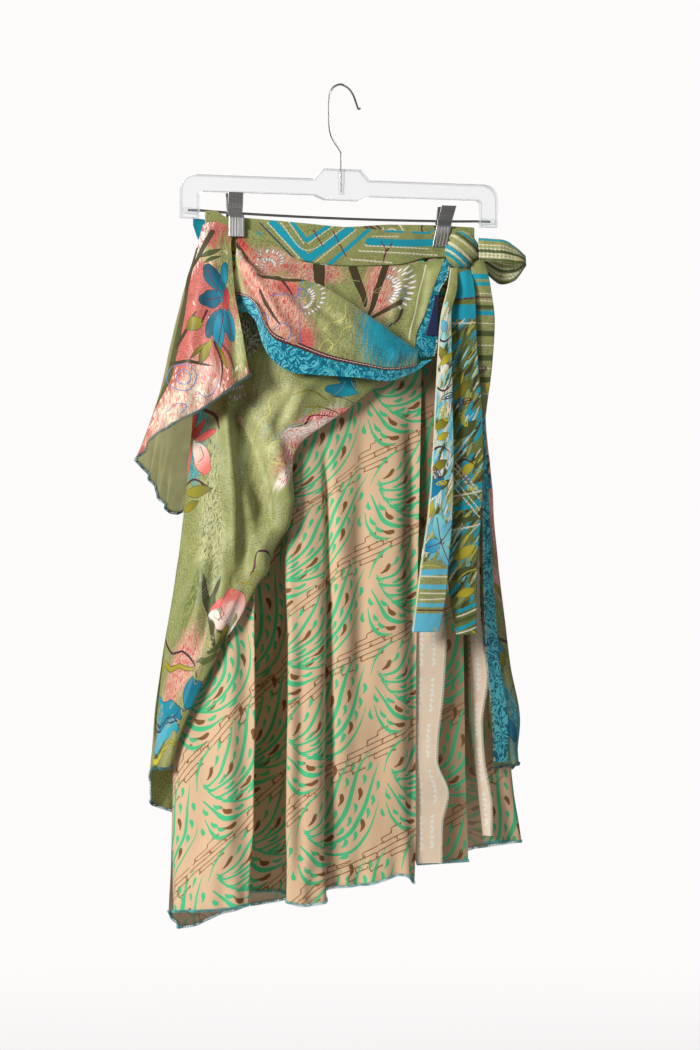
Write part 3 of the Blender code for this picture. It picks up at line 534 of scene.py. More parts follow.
def cloth_piece(name, sheet, finish, node,
                thickness=0.0, declared=True):
    """A sheet, printed or bare, as a mesh with its flat-cloth map; returned unless declared is false or the
    sheet is under 10 mm.
    """
    cloth = getattr(sheet, "cloth", sheet)
    down, across = cloth.points.shape[:2]
    index = np.arange(down * across).reshape(down, across)
    faces = np.stack([index[:-1, :-1], index[:-1, 1:], index[1:, 1:], index[1:, :-1]], axis=-1).reshape(-1, 4)
    mesh = smooth_mesh(name, cloth.points.reshape(-1, 3), faces.tolist())
    flat = np.c_[cloth.u.ravel(), -cloth.v.ravel()] * MM
    layer = mesh.uv_layers.new(name="flat_cloth")
    corners = np.zeros(len(mesh.loops), np.int32)
    mesh.loops.foreach_get("vertex_index", corners)
    layer.data.foreach_set("uv", flat[corners].ravel())
    if sheet is not cloth:
        sheet.store(mesh)
    mesh.materials.append(finish)
    piece = shown(bpy.data.objects.new(name, mesh))
    if thickness:
        ply = piece.modifiers.new("plies", "SOLIDIFY")
        ply.thickness, ply.offset = thickness * MM, 0
    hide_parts(node)
    grid = cloth.points * MM
    width = float(np.linalg.norm(np.diff(grid, axis=1), axis=2).sum(1).max())
    length = float(np.linalg.norm(np.diff(grid, axis=0), axis=2).sum(0).max())
    if not declared or min(width, length) < 0.01:
        return
    return piece


def new_group(name, outputs, **values):
    """A shader node group with its outputs and named inputs, ready to be filled."""
    group = bpy.data.node_groups.new(name, "ShaderNodeTree")
    for label, value in values.items():
        label = label.replace("_", " ")
        made = group.interface.new_socket(label, in_out="INPUT", socket_type="NodeSocketFloat")
        made.default_value = value
    for label, kind in outputs.items():
        group.interface.new_socket(label, in_out="OUTPUT", socket_type=kind)
    return group, group.nodes.new("NodeGroupInput").outputs, group.nodes.new("NodeGroupOutput")


def sum_node(tree, operation, *values):
    return add(tree, "Math", *values, operation=operation).outputs[0]


def times(tree, first, second):
    return sum_node(tree, "MULTIPLY", first, second)


def mixed(tree, share, first, second):
    return add(tree, "Mix", data_type="RGBA", Factor=share, A=first, B=second).outputs["Result"]


def scaled(tree, colour, share):
    return add(tree, "VectorMath", colour, operation="SCALE", Scale=share).outputs[0]


def stepped(tree, value, low, high):
    """1 below low and 0 above high."""
    return add(tree, "MapRange", Value=value, From_Min=high, From_Max=low).outputs["Result"]


def read(tree, name, kind="Fac"):
    return add(tree, "Attribute", attribute_name=name).outputs[kind]


def flat_map(tree):
    return add(tree, "UVMap", uv_map="flat_cloth").outputs[0]


def noise(tree, vector, scale, detail=2.0, stretch=(1, 1, 1), rough=0.5):
    sized = add(tree, "Mapping", Vector=vector, Scale=stretch)
    return add(tree, "TexNoise", Vector=sized, Scale=scale, Detail=detail, Roughness=rough).outputs["Fac"]


# The printed colours of a sheet, from what is stored on its points.
figures, given, printed = new_group("printed_figures", {"Color": "NodeSocketColor"}, Outline=0.0, Mottle=0.1,
                                    Mottle_Scale=120.0, Stipple=0.0)
flat = flat_map(figures)
cloud = add(figures, "TexNoise", Vector=flat, Scale=given["Mottle Scale"], Detail=5, Roughness=0.62)
shift = times(figures, sum_node(figures, "SUBTRACT", cloud.outputs["Fac"], 0.5), given["Mottle"])
lighter = sum_node(figures, "ADD", 1.0, times(figures, shift, 4.0))
ground = scaled(figures, read(figures, "wash", "Color"), lighter)
specks = times(figures, stepped(figures, noise(figures, flat, 620), 0.42, 0.50),
               stepped(figures, noise(figures, flat, 22, 3.0), 0.46, 0.68))
painted = mixed(figures, times(figures, specks, given["Stipple"]), ground, scaled(figures, ground, 0.5))
streaks = stepped(figures, noise(figures, flat, 1.0, 3.0, (720, 130, 1), 0.6), 0.43, 0.49)
painted = mixed(figures, times(figures, streaks, read(figures, "streak_amount")), painted,
                read(figures, "streak", "Color"))
for layer in ("low", "high"):
    inside, ink = read(figures, f"{layer}_edge"), read(figures, f"{layer}_ink", "Color")
    if layer == "high":
        near_rim = sum_node(figures, "ABSOLUTE", sum_node(figures, "ADD", inside, 0.35))
        rim = times(figures, stepped(figures, near_rim, 0.25, 0.45), given["Outline"])
        ink = mixed(figures, rim, ink, (0.035, 0.012, 0.02))
    painted = mixed(figures, stepped(figures, inside, -0.12, 0.12), painted, ink)
on_line = stepped(figures, sum_node(figures, "ABSOLUTE", read(figures, "line_side")), 0.92, 1.08)
on_line = times(figures, on_line, stepped(figures, read(figures, "line_far"), 0.85, 1.05))
add(figures, printed, Color=mixed(figures, on_line, painted, read(figures, "line_ink", "Color")))

# A woven surface: the height of its threads, and the shade between them.
weave, given, woven = new_group("woven_threads", {"Height": "NodeSocketFloat", "Shade": "NodeSocketFloat"},
                                Threads=1500.0, Pebble=0.5, Slub=0.3)
flat = flat_map(weave)
split = add(weave, "SeparateXYZ", flat).outputs
warp, weft = (sum_node(weave, "SINE", times(weave, split[axis], given["Threads"])) for axis in "XY")
threads = times(weave, times(weave, warp, weft), 0.25)
height = sum_node(weave, "ADD", threads, times(weave, noise(weave, flat, 1100), given["Pebble"]))
slub = noise(weave, flat, 1.0, 2.0, (60, 1400, 1))
height = sum_node(weave, "ADD", height, times(weave, slub, given["Slub"]))
add(weave, woven, Height=height, Shade=sum_node(weave, "ADD", 0.90, times(weave, height, 0.16)))


def cloth_finish(name, rough, sheen, mottle, threads, outline=0.0, mottle_scale=120.0, reverse=None,
                 relief=0.00012, gloss=0.3, pebble=0.5, plain=None, stipple=0.0, through=0.12):
    """Printed or plain cloth: the print or a colour, darkened between its threads."""
    made, tree, shader = new_finish(name)
    cloth = add(tree, "Group", node_tree=weave, Threads=threads, Pebble=pebble).outputs
    if plain is None:
        colour = add(tree, "Group", node_tree=figures, Outline=outline, Mottle=mottle,
                     Mottle_Scale=mottle_scale, Stipple=stipple).outputs["Color"]
    else:
        darker, lighter = (tuple(min(1.0, c * (1 + way * mottle * 3)) for c in plain) for way in (-1, 1))
        colour = mixed(tree, noise(tree, flat_map(tree), mottle_scale, 4.0), darker, lighter)
    if reverse is not None:
        behind = add(tree, "NewGeometry").outputs["Backfacing"]
        colour = mixed(tree, behind, colour, mixed(tree, 0.4, colour, reverse))
    shaded = scaled(tree, colour, cloth["Shade"])
    bump = add(tree, "Bump", Strength=0.6, Distance=relief, Height=cloth["Height"])
    varied = add(tree, "MapRange", Value=cloth["Height"], To_Min=rough - 0.04, To_Max=rough + 0.10)
    add(tree, shader, Base_Color=shaded, Normal=bump, Roughness=varied, Sheen_Weight=sheen,
        Sheen_Roughness=0.4, Specular_IOR_Level=gloss)
    lit_through = add(tree, "MixShader", through, shader, add(tree, "BsdfTranslucent", Color=shaded))
    add(tree, tree.nodes["Material Output"], Surface=lit_through)
    return made


def linear(*seen):
    """A colour given as it is seen, red, green and blue from 0 to 255, for the shaders."""
    return tuple(((c / 255 + 0.055) / 1.055) ** 2.4 if c > 10 else c / 255 / 12.92 for c in seen)


TAN = linear(210, 176, 141)
PLUME = linear(74, 184, 127)
SEED = linear(122, 84, 48)
MAZE = linear(138, 98, 58)
crepe = cloth_finish("tan printed crepe", 0.72, 0.15, mottle=0.012, reverse=linear(228, 204, 178),
                     threads=3600, gloss=0.2, through=0.05)

# The plume: tapered strokes that sweep out of one root, five of them up and three down.
# Each has its greatest half width, then points across and up.
STROKES = """
2.1 1,1 7,-2 20,3 28,16 35,34 39,52; 2.4 3,-2 11,-9 31,-7 43,4 50,24 55,47 61,64
2.6 5,-8 16,-19 37,-17 55,-5 65,15 69,38 74,61 83,77; 2.4 12,-18 28,-28 48,-25 66,-13 77,4 84,24 88,45 93,66
1.6 1,-2 17,-21 32,-32 50,-36 69,-30 82,-15 91,3 97,26; 2.5 -1,-15 9,-29 20,-43 34,-48 50,-45
2.0 -1,-35 5,-50 15,-61 30,-61; 1.6 -6,-2 -3,14 5,28 17,36
"""
# The loose drops: each has its middle and its way.
LOOSE_DROPS = """
13,-27 3,-4; 23,-36 3,-4; 36,-40 4,-1; 8,-43 2,-4; 15,-51 3,-4; 25,-54 4,-1; 0,-26 1,-4; -4,-44 0,-4
60,-37 4,1; 9,8 3,3; 18,17 3,4; 22,31 2,4
"""
# The maze: lines on a grid of steps along the band and rows down it; some end in a dot.
MAZE_LINES = """
0,2 6.4,2 6.4,1.1 8.4,1.1; 0,2 0,3 5.2,3 5.2,3.9 6.6,3.9; 1.5,3 1.5,4.1 2.7,4.1; 3.2,2 3.2,1.4 4.8,1.4
6.4,2 8,2 8,3 12.4,3; 5.2,3 9.6,3; 8.4,2 13.3,2; dot 9,1.1 9,0.2 10.4,0.2 10.4,-0.6 11.6,-0.6
dot 8.8,1.1 12.2,1.1; 10.8,2 10.8,1.1; dot 9.6,3 9.6,3.9 12.1,3.9; dot 2,2 2,1.1 3,1.1
dot 6.8,3 6.8,4.6 8.3,4.6; 12.4,2 12.4,1.3 13.3,1.3; dot 4.2,3.9 4.2,4.8 5,4.8
"""
ALONG_MAZE, DOWN_MAZE, MAZE_START = (7.9, 4.37), (1.2, -5.9), (27, -53)
REPEAT_ACROSS, REPEAT_DOWN, STRETCH = (105, -58), (19, 103), 1.12
TAPER = (0.3, 0.42, 0.65, 0.9, 1.0, 0.9, 0.55, 0.1)
DROP_TAPER = (0.2, 0.7, 1.35, 1.7, 1.4)


def curved(points, count):
    """A rounded line through points."""
    points = np.asarray(points, float)
    held = np.vstack([2 * points[0] - points[1], points, 2 * points[-1] - points[-2]])
    at = np.linspace(0, len(points) - 1, count)
    index = np.minimum(at.astype(int), len(points) - 2)
    t = (at - index)[:, None]
    a, b, c, d = (held[index + k] for k in range(4))
    return 0.5 * (2 * b + (c - a) * t + (2 * a - 5 * b + 4 * c - d) * t**2 + (3 * b - a - 3 * c + d) * t**3)


def plume_strokes():
    """All strokes of one plume as (line, half widths, ink), with y upwards."""
    widths, lines = zip(*((float(words[0]), curved(line, 41)) for words, line in table(STROKES)))
    strokes = [(line[::2], np.array(TAPER) * width, PLUME) for width, line in zip(widths, lines)]
    spots = [tuple(drop) for _, drop in table(LOOSE_DROPS)]
    for number, (left, right) in enumerate(zip(lines[:4], lines[1:5])):
        for place in range(12 - 2 * number, 40, 5 if number < 2 else 4):
            middle = (left[place] + right[min(place + 1, 40)]) / 2
            spots.append((middle, left[min(place + 2, 40)] - left[place - 2]))
    for number, (spot, way) in enumerate(spots):
        brown = number % 4 == 1
        way = way / np.hypot(*way) * (1.9 if brown else 1.6)
        side = np.array((way[1], -way[0]))
        line = curved((spot - way * 4.2, spot + side * 0.7, spot + way * 2.8 - side * 0.6), 5)
        strokes.append((line, np.array(DROP_TAPER) * (1.55 if brown else 1.35), SEED if brown else PLUME))
    return strokes


def lay_plumes(sheet, offset):
    """Prints the repeat of plumes and maze bands all over a sheet."""
    strokes = plume_strokes()
    flip = np.array((STRETCH, -1.0))
    across, down = np.multiply(REPEAT_ACROSS, abs(flip)), np.multiply(REPEAT_DOWN, abs(flip))
    maze = [(points @ np.array((ALONG_MAZE, DOWN_MAZE)) + MAZE_START, dotted)
            for dotted, points in table(MAZE_LINES)]
    low = np.array((sheet.u.min() - 130, sheet.v.min() - 60))
    high = np.array((sheet.u.max() + 30, sheet.v.max() + 130))
    for i in range(-14, 15):
        for j in range(-16, 17):
            root = np.array(offset) + across * i + down * j
            if (root < low).any() or (root > high).any():
                continue
            for line, widths, ink in strokes:
                if len(line) > 6:
                    sheet.thin(root + line * flip, ink, widths)
                else:
                    sheet.shape(root + line * flip, widths, ink)
            for line, dotted in maze:
                placed = root + line * flip
                sheet.thin(placed, MAZE, 0.55)
                if dotted:
                    sheet.shape(placed[-1:].repeat(2, 0) + ((0, 0), (0.1, 0)), (1.6, 1.6), MAZE, "high")


# x and y of each fold at the band, hip, knee and hem, and the hem's own height.
FOLDS = (
    (92, 82, -24, 73, -42, 70, -49, -858), (50, 46, -27, 46, -47, 52, -54, -848),
    (12, 10, -28, 8, -48, 16, -51, -857), (-14, -14, -28, -25, -49, -28, -48, -861),
    (-30, -28, -28, -36, -54, -37, -60, -873), (-44, -42, -29, -56, -58, -57, -66, -875),
    (-58, -56, -27, -76, -50, -80, -54, -871), (-70, -70, -24, -87, -24, -91, -16, -872),
    (-82, -84, -25, -100, -42, -103, -53, -872), (-104, -110, -23, -131, -48, -136, -61, -876),
    (-130, -141, -14, -168, -33, -170, -42, -880), (-145, -159, -3, -186, -9, -189, -12, -884),
    (-132, -144, 18, -165, 24, -170, 24, -907), (-82, -88, 26, -100, 37, -104, 41, -891),
    (-45, -48, 25, -52, 30, -54, 29, -880), (0, 0, 28, 2, 37, 4, 41, -868),
    (45, 46, 25, 52, 30, 56, 30, -855), (84, 88, 26, 104, 36, 112, 40, -843),
    (142, 142, 16, 164, 24, 176, 24, -830), (145, 158, 1, 184, 2, 204, 3, -824),
    (142, 147, -6, 143, -9, 157, -11, -822),
)
LEFT_FOLD, LAST_FOLD = 11, 20
HIP, KNEE = -400.0, -650.0
# x, top, foot and y of the waistband, which the layers hang from.
BAND_FRONT = (
    (150, -150, -184, -1.65), (118, -152, -183, -1.65), (97, -156, -184, -1.65), (60, -156, -193, -6),
    (0, -154, -196, -8), (-45, -151, -191.5, -7), (-75, -149, -187, -5), (-108, -147, -184, -3.3),
    (-128, -146.5, -183, -3.3), (-140, -140, -181, -3.3), (-151, -141, -179, -3.3),
)
BAND_BACK = (
    (-150, -149, -188, 1.65), (-106, -148, -188, 1.65), (-60, -150, -191, 7), (0, -152, -193, 9),
    (60, -148, -190, 7), (97, -148, -188, 1.65), (150, -149, -188, 1.65),
)


def band_foot(band, x, drop, ply):
    """A point just below the waistband's foot, on one of the layers sewn into it."""
    ordered = sorted(band)
    places = [row[0] for row in ordered]
    return (x, float(np.interp(x, places, [row[3] for row in ordered])) + ply,
            float(np.interp(x, places, [row[2] for row in ordered])) - drop)


def inner_rows():
    top = []
    for number, fold in enumerate(FOLDS):
        in_front = number < LEFT_FOLD or number == LAST_FOLD
        x, y, z = band_foot(BAND_FRONT if in_front else BAND_BACK, fold[0], 1.0, 0.1 if in_front else -0.1)
        top.append((x, 0.0 if number in (LEFT_FOLD, LAST_FOLD - 1) else y, z))
    return [top, [(f[1], f[2], HIP) for f in FOLDS], [(f[3], f[4], KNEE) for f in FOLDS],
            [(f[5], f[6], f[7]) for f in FOLDS]]


rows = inner_rows()
inner_front = Cloth(rows, 1.8, stations=(0, LEFT_FOLD), home=0.25)
inner_front.crease("""
10 -44 -80,-330 -86,-513 -89,-660 -93,-885 -97,-1050
6 -6 12 -92,-345 -97,-513 -100,-660 -104,-885 -108,-1050
5 3 -4 -72,-345 -78,-513 -80,-660 -83,-885 -86,-1050; 7 12 -100,-400 -104,-600 -108,-885
6 5 -66,-400 -70,-650 -73,-885; 4.5 -8 -25,-375 -22,-470 -25,-600 -26,-767 -32,-870
12 4 -12,-420 -8,-600 -12,-800; 9 4 -38,-500 -42,-640 -46,-860; 10 -4 18,-340 13,-513 5,-700
14 4 52,-330 50,-556 46,-800; 7 -5 74,-330 70,-556 64,-840; 5 -3 -56,-560 -60,-745 -62,-865
12 -4 -150,-560 -160,-700 -166,-860; 9 4 -128,-560 -134,-700 -140,-860
""")
inner_front.wrinkle(0.9, 44, 3)
inner_front.ruffle(2.2, 36, 36, 7)
bias = inner_front.place(-26, -600)[0]
inner_front.v = inner_front.v - 0.45 * np.maximum(0, bias - inner_front.u)
inner_print = Print(inner_front, TAN)
lay_plumes(inner_print, (-20.0, 30.0))
cloth_piece("under_layer_front", inner_print, crepe, "inner_front")

# Overlock: a tree that wraps slanted stitches round an edge, given as a line of points that
# each know the way into the cloth. Its sizes are in metres.
stitches = bpy.data.node_groups.new("overlock", "GeometryNodeTree")
stitches.interface.new_socket("Edge", in_out="INPUT", socket_type="NodeSocketGeometry")
THREAD = stitches.interface.new_socket("Thread", in_out="INPUT", socket_type="NodeSocketMaterial").identifier
stitches.interface.new_socket("Stitches", in_out="OUTPUT", socket_type="NodeSocketGeometry")
SPACING, REACH, THREAD_RADIUS, SLANT = 0.0017, 0.0026, 0.00042, 0.35

given = add(stitches, "NodeGroupInput").outputs
rail = add(stitches, "GeometryNodeMeshToCurve", given["Edge"])
spaced = add(stitches, "GeometryNodeResampleCurve", mode="LENGTH", Curve=rail, Length=SPACING)
arc = add(stitches, "GeometryNodeCurveArc", Resolution=7, Radius=1.0, Start_Angle=math.radians(-20),
          Sweep_Angle=math.radians(220))
flat_arc = add(stitches, "GeometryNodeTransform", Geometry=arc, Scale=(0.0011, REACH, 1.0))
upright = add(stitches, "GeometryNodeTransform", Geometry=flat_arc,
              Rotation=(math.radians(-90), 0, math.radians(90)))
leaning = add(stitches, "GeometryNodeTransform", Geometry=upright, Rotation=(0.0, SLANT, 0.0))
section = add(stitches, "GeometryNodeCurvePrimitiveCircle", Resolution=4, Radius=THREAD_RADIUS)
stitch = add(stitches, "GeometryNodeCurveToMesh", Curve=leaning, Profile_Curve=section)
inward = add(stitches, "GeometryNodeInputNamedAttribute", Name="inward", data_type="FLOAT_VECTOR")
tangent = add(stitches, "GeometryNodeInputTangent")
along = add(stitches, "FunctionNodeAlignRotationToVector", axis="X", Vector=tangent)
turned_in = add(stitches, "FunctionNodeAlignRotationToVector", axis="Z", pivot_axis="X", Rotation=along,
                Vector=inward)
placed = add(stitches, "GeometryNodeInstanceOnPoints", Points=spaced, Instance=stitch, Rotation=turned_in)
realized = add(stitches, "GeometryNodeRealizeInstances", placed)
coloured = add(stitches, "GeometryNodeSetMaterial", Geometry=realized, Material=given["Thread"])
add(stitches, "NodeGroupOutput", coloured)


def thread_finish(name, colour):
    """Twisted thread, a little lighter along its ridges."""
    made, tree, shader = new_finish(name)
    twist = noise(tree, add(tree, "TexCoord").outputs["Object"], 2200)
    shade = mixed(tree, twist, tuple(c * 0.72 for c in colour), tuple(min(1, c * 1.3) for c in colour))
    add(tree, shader, Base_Color=shade, Roughness=0.6, Sheen_Weight=0.3)
    return made


def overlock(name, cloth, finish):
    """Overlocks a cloth's foot, or the first of the two rows of points given in its place."""
    edge, inner = (cloth.points[-1], cloth.points[-2]) if isinstance(cloth, Cloth) else cloth
    rail_mesh = bpy.data.meshes.new(name)
    rail_mesh.from_pydata([tuple(p) for p in edge * MM], [(k, k + 1) for k in range(len(edge) - 1)], [])
    into = rail_mesh.attributes.new("inward", "FLOAT_VECTOR", "POINT")
    into.data.foreach_set("vector", (inner - edge).ravel())
    rail_piece = bpy.data.objects.new(name, rail_mesh)
    bpy.context.scene.collection.objects.link(rail_piece)
    sewn = rail_piece.modifiers.new("overlock", "NODES")
    sewn.node_group = stitches
    sewn[THREAD] = finish
    seen_now = bpy.context.evaluated_depsgraph_get()
    made = bpy.data.meshes.new_from_object(rail_piece.evaluated_get(seen_now))
    bpy.data.objects.remove(rail_piece)
    if "inward" in made.attributes:
        made.attributes.remove(made.attributes["inward"])
    made.shade_smooth()
    shown(bpy.data.objects.new(name, made))


sea_thread = thread_finish("sea green thread", linear(70, 162, 158))
overlock("under_layer_front_overlock", inner_front, sea_thread)

inner_back = Cloth(rows, 3.0, stations=(LEFT_FOLD, LAST_FOLD),
                   start=(float(inner_front.u[:, -1].mean()), float(inner_front.v[0, -1])))
inner_back.crease("""
13 -3.4 143,-470 146,-560 147,-640 148,-730
""")
inner_back.wrinkle(1.0, 60, 5)
inner_back.ruffle(2.6, 44, 46, 8)
back_print = Print(inner_back, TAN)
lay_plumes(back_print, (-20.0, 30.0))
cloth_piece("under_layer_back", back_print, crepe, "inner_back")


overlock("under_layer_back_overlock", inner_back, sea_thread)


# ======================================================================== the open slit
# At the right slit the under layer's own lap shows: printed cloth whose edge is turned out,
# so that its pale reverse and its selvage with plain woven marks face forward.
SLIT = (
    (-188.7, 84, 0, 134, 0, 20), (-260, 84, -5, 135, -3.5, 20), (-330, 84, -14, 136, -9, 20),
    (-450, 78, -19, 135, -12, 20), (-540, 75, -27, 133, -16, 26), (-600, 74.5, -32, 132, -20, 31),
    (-656, 72, -34, 132, -23, 30), (-705, 68.5, -36, 132, -25, 27), (-731, 70, -37, 132, -26, 24),
    (-766, 71, -38, 133, -26, 36), (-800, 72, -40, 134, -27, 27), (-839, 73, -41, 135, -28, 25),
)                                      # z, left, its y, right, its y, and the turned width
SELVAGE = (
    (-470, 3), (-558, 6), (-600, 10), (-641, 17), (-691, 9), (-731, 8), (-784, 11), (-815, 7),
)                                      # z and width of the turned strip at the slit's other side
TURN_FROM = 4

slit_rows = [[(right + (left - right) * s, right_y + (left_y - right_y) * s, z) for s in (0, 0.35, 0.7, 1)]
             for z, left, left_y, right, right_y, _ in SLIT]
slit_cloth = Cloth(slit_rows, 1.6, home=1.0, start=(140.0, 0.0))
# The lap's ground is a darker tan than the crepe's TAN elsewhere: painted shade for the recess behind the
# front panel's edge.
slit_print = Print(slit_cloth, linear(186, 150, 116))
lay_plumes(slit_print, (30.0, 30.0))
cloth_piece("slit_lap", slit_print, crepe, "inner_under")
overlock("slit_lap_overlock", slit_cloth, sea_thread)

turn_rows = []
for z, left, left_y, right, right_y, turn in SLIT[TURN_FROM:]:
    row = []
    for share in (1, 0.5, 0):
        x = left + turn * share
        row.append((x, right_y + (left_y - right_y) * (right - x) / (right - left) - 1.5 - 8 * share, z))
    turn_rows.append(row)
selvage_cloth = Cloth(turn_rows, 1.0, home=0.0)
reverse_finish = cloth_finish("pale crepe reverse", 0.8, 0.2, mottle=0.05, threads=3600, through=0.3)
SELVAGE_CREAM, WOVEN_MARK = linear(246, 224, 198), linear(254, 250, 240)


def selvage_print(sheet, rows_of_marks):
    """Plain bars woven in rows along the selvage."""
    made = Print(sheet, SELVAGE_CREAM)
    for place in rows_of_marks:
        column = round(place * (sheet.points.shape[1] - 1))
        for number, v in enumerate(np.arange(sheet.v.min() + 4, sheet.v.max() - 4, 5.5)):
            u = float(np.interp(v, sheet.v[:, column], sheet.u[:, column]))
            if number % 9 < 7:
                made.thin(((u - 1.6, v), (u + 1.6, v + (number % 3 - 1) * 1.2)), WOVEN_MARK, 0.6)
                made.thin(((u, v - 1.5), (u, v + 1.5)), WOVEN_MARK, 0.5)
    return made


cloth_piece("slit_turned_reverse", selvage_print(selvage_cloth, (0.35, 0.8)), reverse_finish, "inner_turn")
cream_thread = thread_finish("cream thread", linear(240, 226, 206))
overlock("slit_edge_overlock", np.swapaxes(selvage_cloth.points, 0, 1)[:2], cream_thread)

edge_part = np.asarray(smooth(np.swapaxes(smooth(rows, np.linspace(1, 3, 60)), 0, 1),
                              np.linspace(LAST_FOLD - 1, LAST_FOLD, 9)))[-1]
strip_rows = []
for z, width in SELVAGE:
    fold = edge_part[int(np.argmin(np.abs(edge_part[:, 2] - z)))] + (0, -1.8, 0)
    strip_rows.append([(fold[0] + width, fold[1] - 4.5, z), (fold[0] + width / 2, fold[1] - 2, z),
                       (fold[0], fold[1], z)])
strip_cloth = Cloth(strip_rows, 1.0, home=0.0)
cloth_piece("selvage_turned", selvage_print(strip_cloth, (0.5,)), reverse_finish, "inner_edge")
overlock("selvage_overlock", np.swapaxes(strip_cloth.points, 0, 1)[:2], cream_thread)


# ======================================================================== waistband
# A band of the olive silk folded to two plies, which both layers are sewn into. Its printed
# chevrons and stripes come from the border of the old cloth, and its end is turned in.
class Ink:
    """The printed colours."""
    OLIVE, OLIVE_LIGHT = linear(156, 160, 97), linear(186, 187, 126)
    OLIVE_MID, OLIVE_DEEP = linear(112, 124, 62), linear(80, 90, 44)
    CORAL, ROSE, ROSE_HOT = linear(224, 108, 98), linear(238, 186, 170), linear(238, 96, 92)
    RED, CRIMSON, FLUSH = linear(206, 52, 44), linear(200, 38, 62), linear(226, 176, 152)
    DULL_CORAL, FAINT, FAINT_BLUE = linear(198, 116, 104), linear(172, 172, 112), linear(140, 156, 140)
    PETAL, CREAM_INK, CREAM = linear(244, 234, 220), linear(226, 216, 190), linear(224, 216, 186)
    # A dimmed petal cream, used for painted shadow.
    PETAL_DIM = linear(190, 194, 160)
    TEAL, TEAL_LIGHT, TEAL_DEEP = linear(16, 116, 142), linear(40, 158, 184), linear(8, 74, 94)
    SKY, SKY_PALE, SKY_BRIGHT = linear(96, 186, 210), linear(140, 216, 216), linear(22, 142, 188)
    BLUE, BLUE_PALE = linear(92, 122, 186), linear(132, 162, 184)
    TURQUOISE, NAVY, MAROON = linear(18, 158, 178), linear(34, 42, 82), linear(98, 34, 52)
    LEAF, LEAF_DEEP, YELLOW = linear(164, 152, 38), linear(104, 100, 30), linear(206, 190, 54)
    PALE_YELLOW, BRANCH = linear(208, 202, 112), linear(72, 62, 34)
    BARK, PINK = linear(122, 84, 48), linear(255, 158, 148)


PROFILES = {
    "petal": (0.30, 0.72, 0.95, 1.0, 0.92, 0.62), "leaf": (0.06, 0.62, 0.95, 1.0, 0.66, 0.05),
    "stem": (1.0, 0.95, 0.85, 0.7, 0.3), "shape": (1.0, 1.0), "stripe": (1.0, 1.0),
}


def profile(kind, size):
    return np.array(PROFILES[kind]) * size


def draw(sheet, figures):
    """Draws a table of figures: kind, ink, perhaps a second ink, half width, then x,z of points.

    A row that starts with its half width keeps the kind and inks of the row before. A field is
    a soft wash with streaks of its second ink, and its two points are its middle and its far
    end. A fan is a ring of small petals, from its second point to its third."""
    for words, spots in table(figures):
        if len(words) > 1:
            kind, ink, tip = words[0], getattr(Ink, words[1]), getattr(Ink, words[-2])
        size = float(words[-1])
        line = np.array([sheet.cloth.place(x, z) for x, z in spots])
        if kind == "field":
            reach = line[1] - line[0]
            radii = (max(float(np.hypot(*reach)), size), size)
            sheet.patch(line[0], radii, math.atan2(reach[1], reach[0]), ink, 0.35, tip,
                        0.9 if tip is not ink else 0.0)
        elif kind == "fan":
            first, last = line[1] - line[0], line[2] - line[0]
            start, turn = math.atan2(first[1], first[0]), math.atan2(last[1], last[0])
            turn = (turn - start + math.pi) % (2 * math.pi) - math.pi
            count = max(3, round(abs(turn) * np.hypot(*first) / (size * 4.6)) + 1)
            for share in np.linspace(0, 1, count):
                reach = np.hypot(*first) * (1 - share) + np.hypot(*last) * share
                way = np.array((math.cos(start + turn * share), math.sin(start + turn * share)))
                for low, high in ((0.30, 0.58), (0.66, 1.0)):
                    blade = line[0] + np.outer((low, high), way * reach)
                    sheet.shape(blade, profile("leaf", size), ink, "high", tip)
        elif kind in ("line", "dash"):
            bent_line = curved(line, 5 * len(line)) if len(line) > 2 else line
            (sheet.thin if kind == "line" else sheet.dashes)(bent_line, ink, size)
        else:
            if len(line) > 2 and kind != "shape":
                line = curved(line, 5 * len(line))
            sheet.shape(line, profile(kind, size), ink, "low" if kind in ("shape", "stripe") else "high", tip)


def leaf_outline(middle, size, turn):
    """A closed leaf outline with pointed ends."""
    t = np.linspace(0, 2 * math.pi, 15)
    shape = np.c_[np.cos(t) * size, np.sin(t) * size * 0.36 * (1 - 0.3 * np.cos(t))]
    c, s = math.cos(turn), math.sin(turn)
    return middle + shape @ np.array(((c, s), (-s, c)))


def doodles(sheet, seed, count, inks, half_width=0.3, sizes=(7, 15)):
    """Fine leaf outlines, curls and twigs scattered over a sheet."""
    rng = np.random.default_rng(seed)
    for number in range(count):
        pick = rng.integers(sheet.u.size)
        middle = np.array((sheet.u[pick], sheet.v[pick]))
        size, turn = rng.uniform(*sizes), rng.uniform(0, 6.28)
        ink = inks[number % len(inks)]
        way = np.array((math.cos(turn), math.sin(turn)))
        if number % 4 == 3:
            t = np.linspace(0, rng.uniform(5, 9), 22)
            curl = np.c_[np.cos(t + turn), np.sin(t + turn)] * (size * 0.8 - t[:, None] * 0.8)
            sheet.thin(middle + curl, ink, half_width)
        elif number % 4 == 2:
            t = np.linspace(-1, 1, 12)[:, None]
            over = np.array((-way[1], way[0]))
            sheet.thin(middle + way * t * size * 2 + over * (t ** 2) * size * 0.7, ink, half_width)
        else:
            sheet.thin(leaf_outline(middle, size, turn), ink, half_width)
            sheet.thin(np.array((middle - way * size, middle + way * size * 0.4)), ink, half_width)


def brushed(sheet, seed, count, span, turn, inks, half_width, length=(9, 22)):
    """Short strokes of a flat brush, all one way, over the part of a sheet between two v."""
    rng = np.random.default_rng(seed)
    inside = np.flatnonzero((sheet.v > span[0]) & (sheet.v < span[1]))
    for number in range(count):
        pick = inside[rng.integers(len(inside))]
        lean = turn + rng.normal(0, 0.12)
        way = np.array((math.cos(lean), math.sin(lean))) * rng.uniform(*length) / 2
        middle = np.array((sheet.u[pick], sheet.v[pick]))
        widths = np.array((0.5, 1, 0.9, 0.3)) * half_width
        sheet.shape((middle - way, middle + way), widths, inks[number % len(inks)])


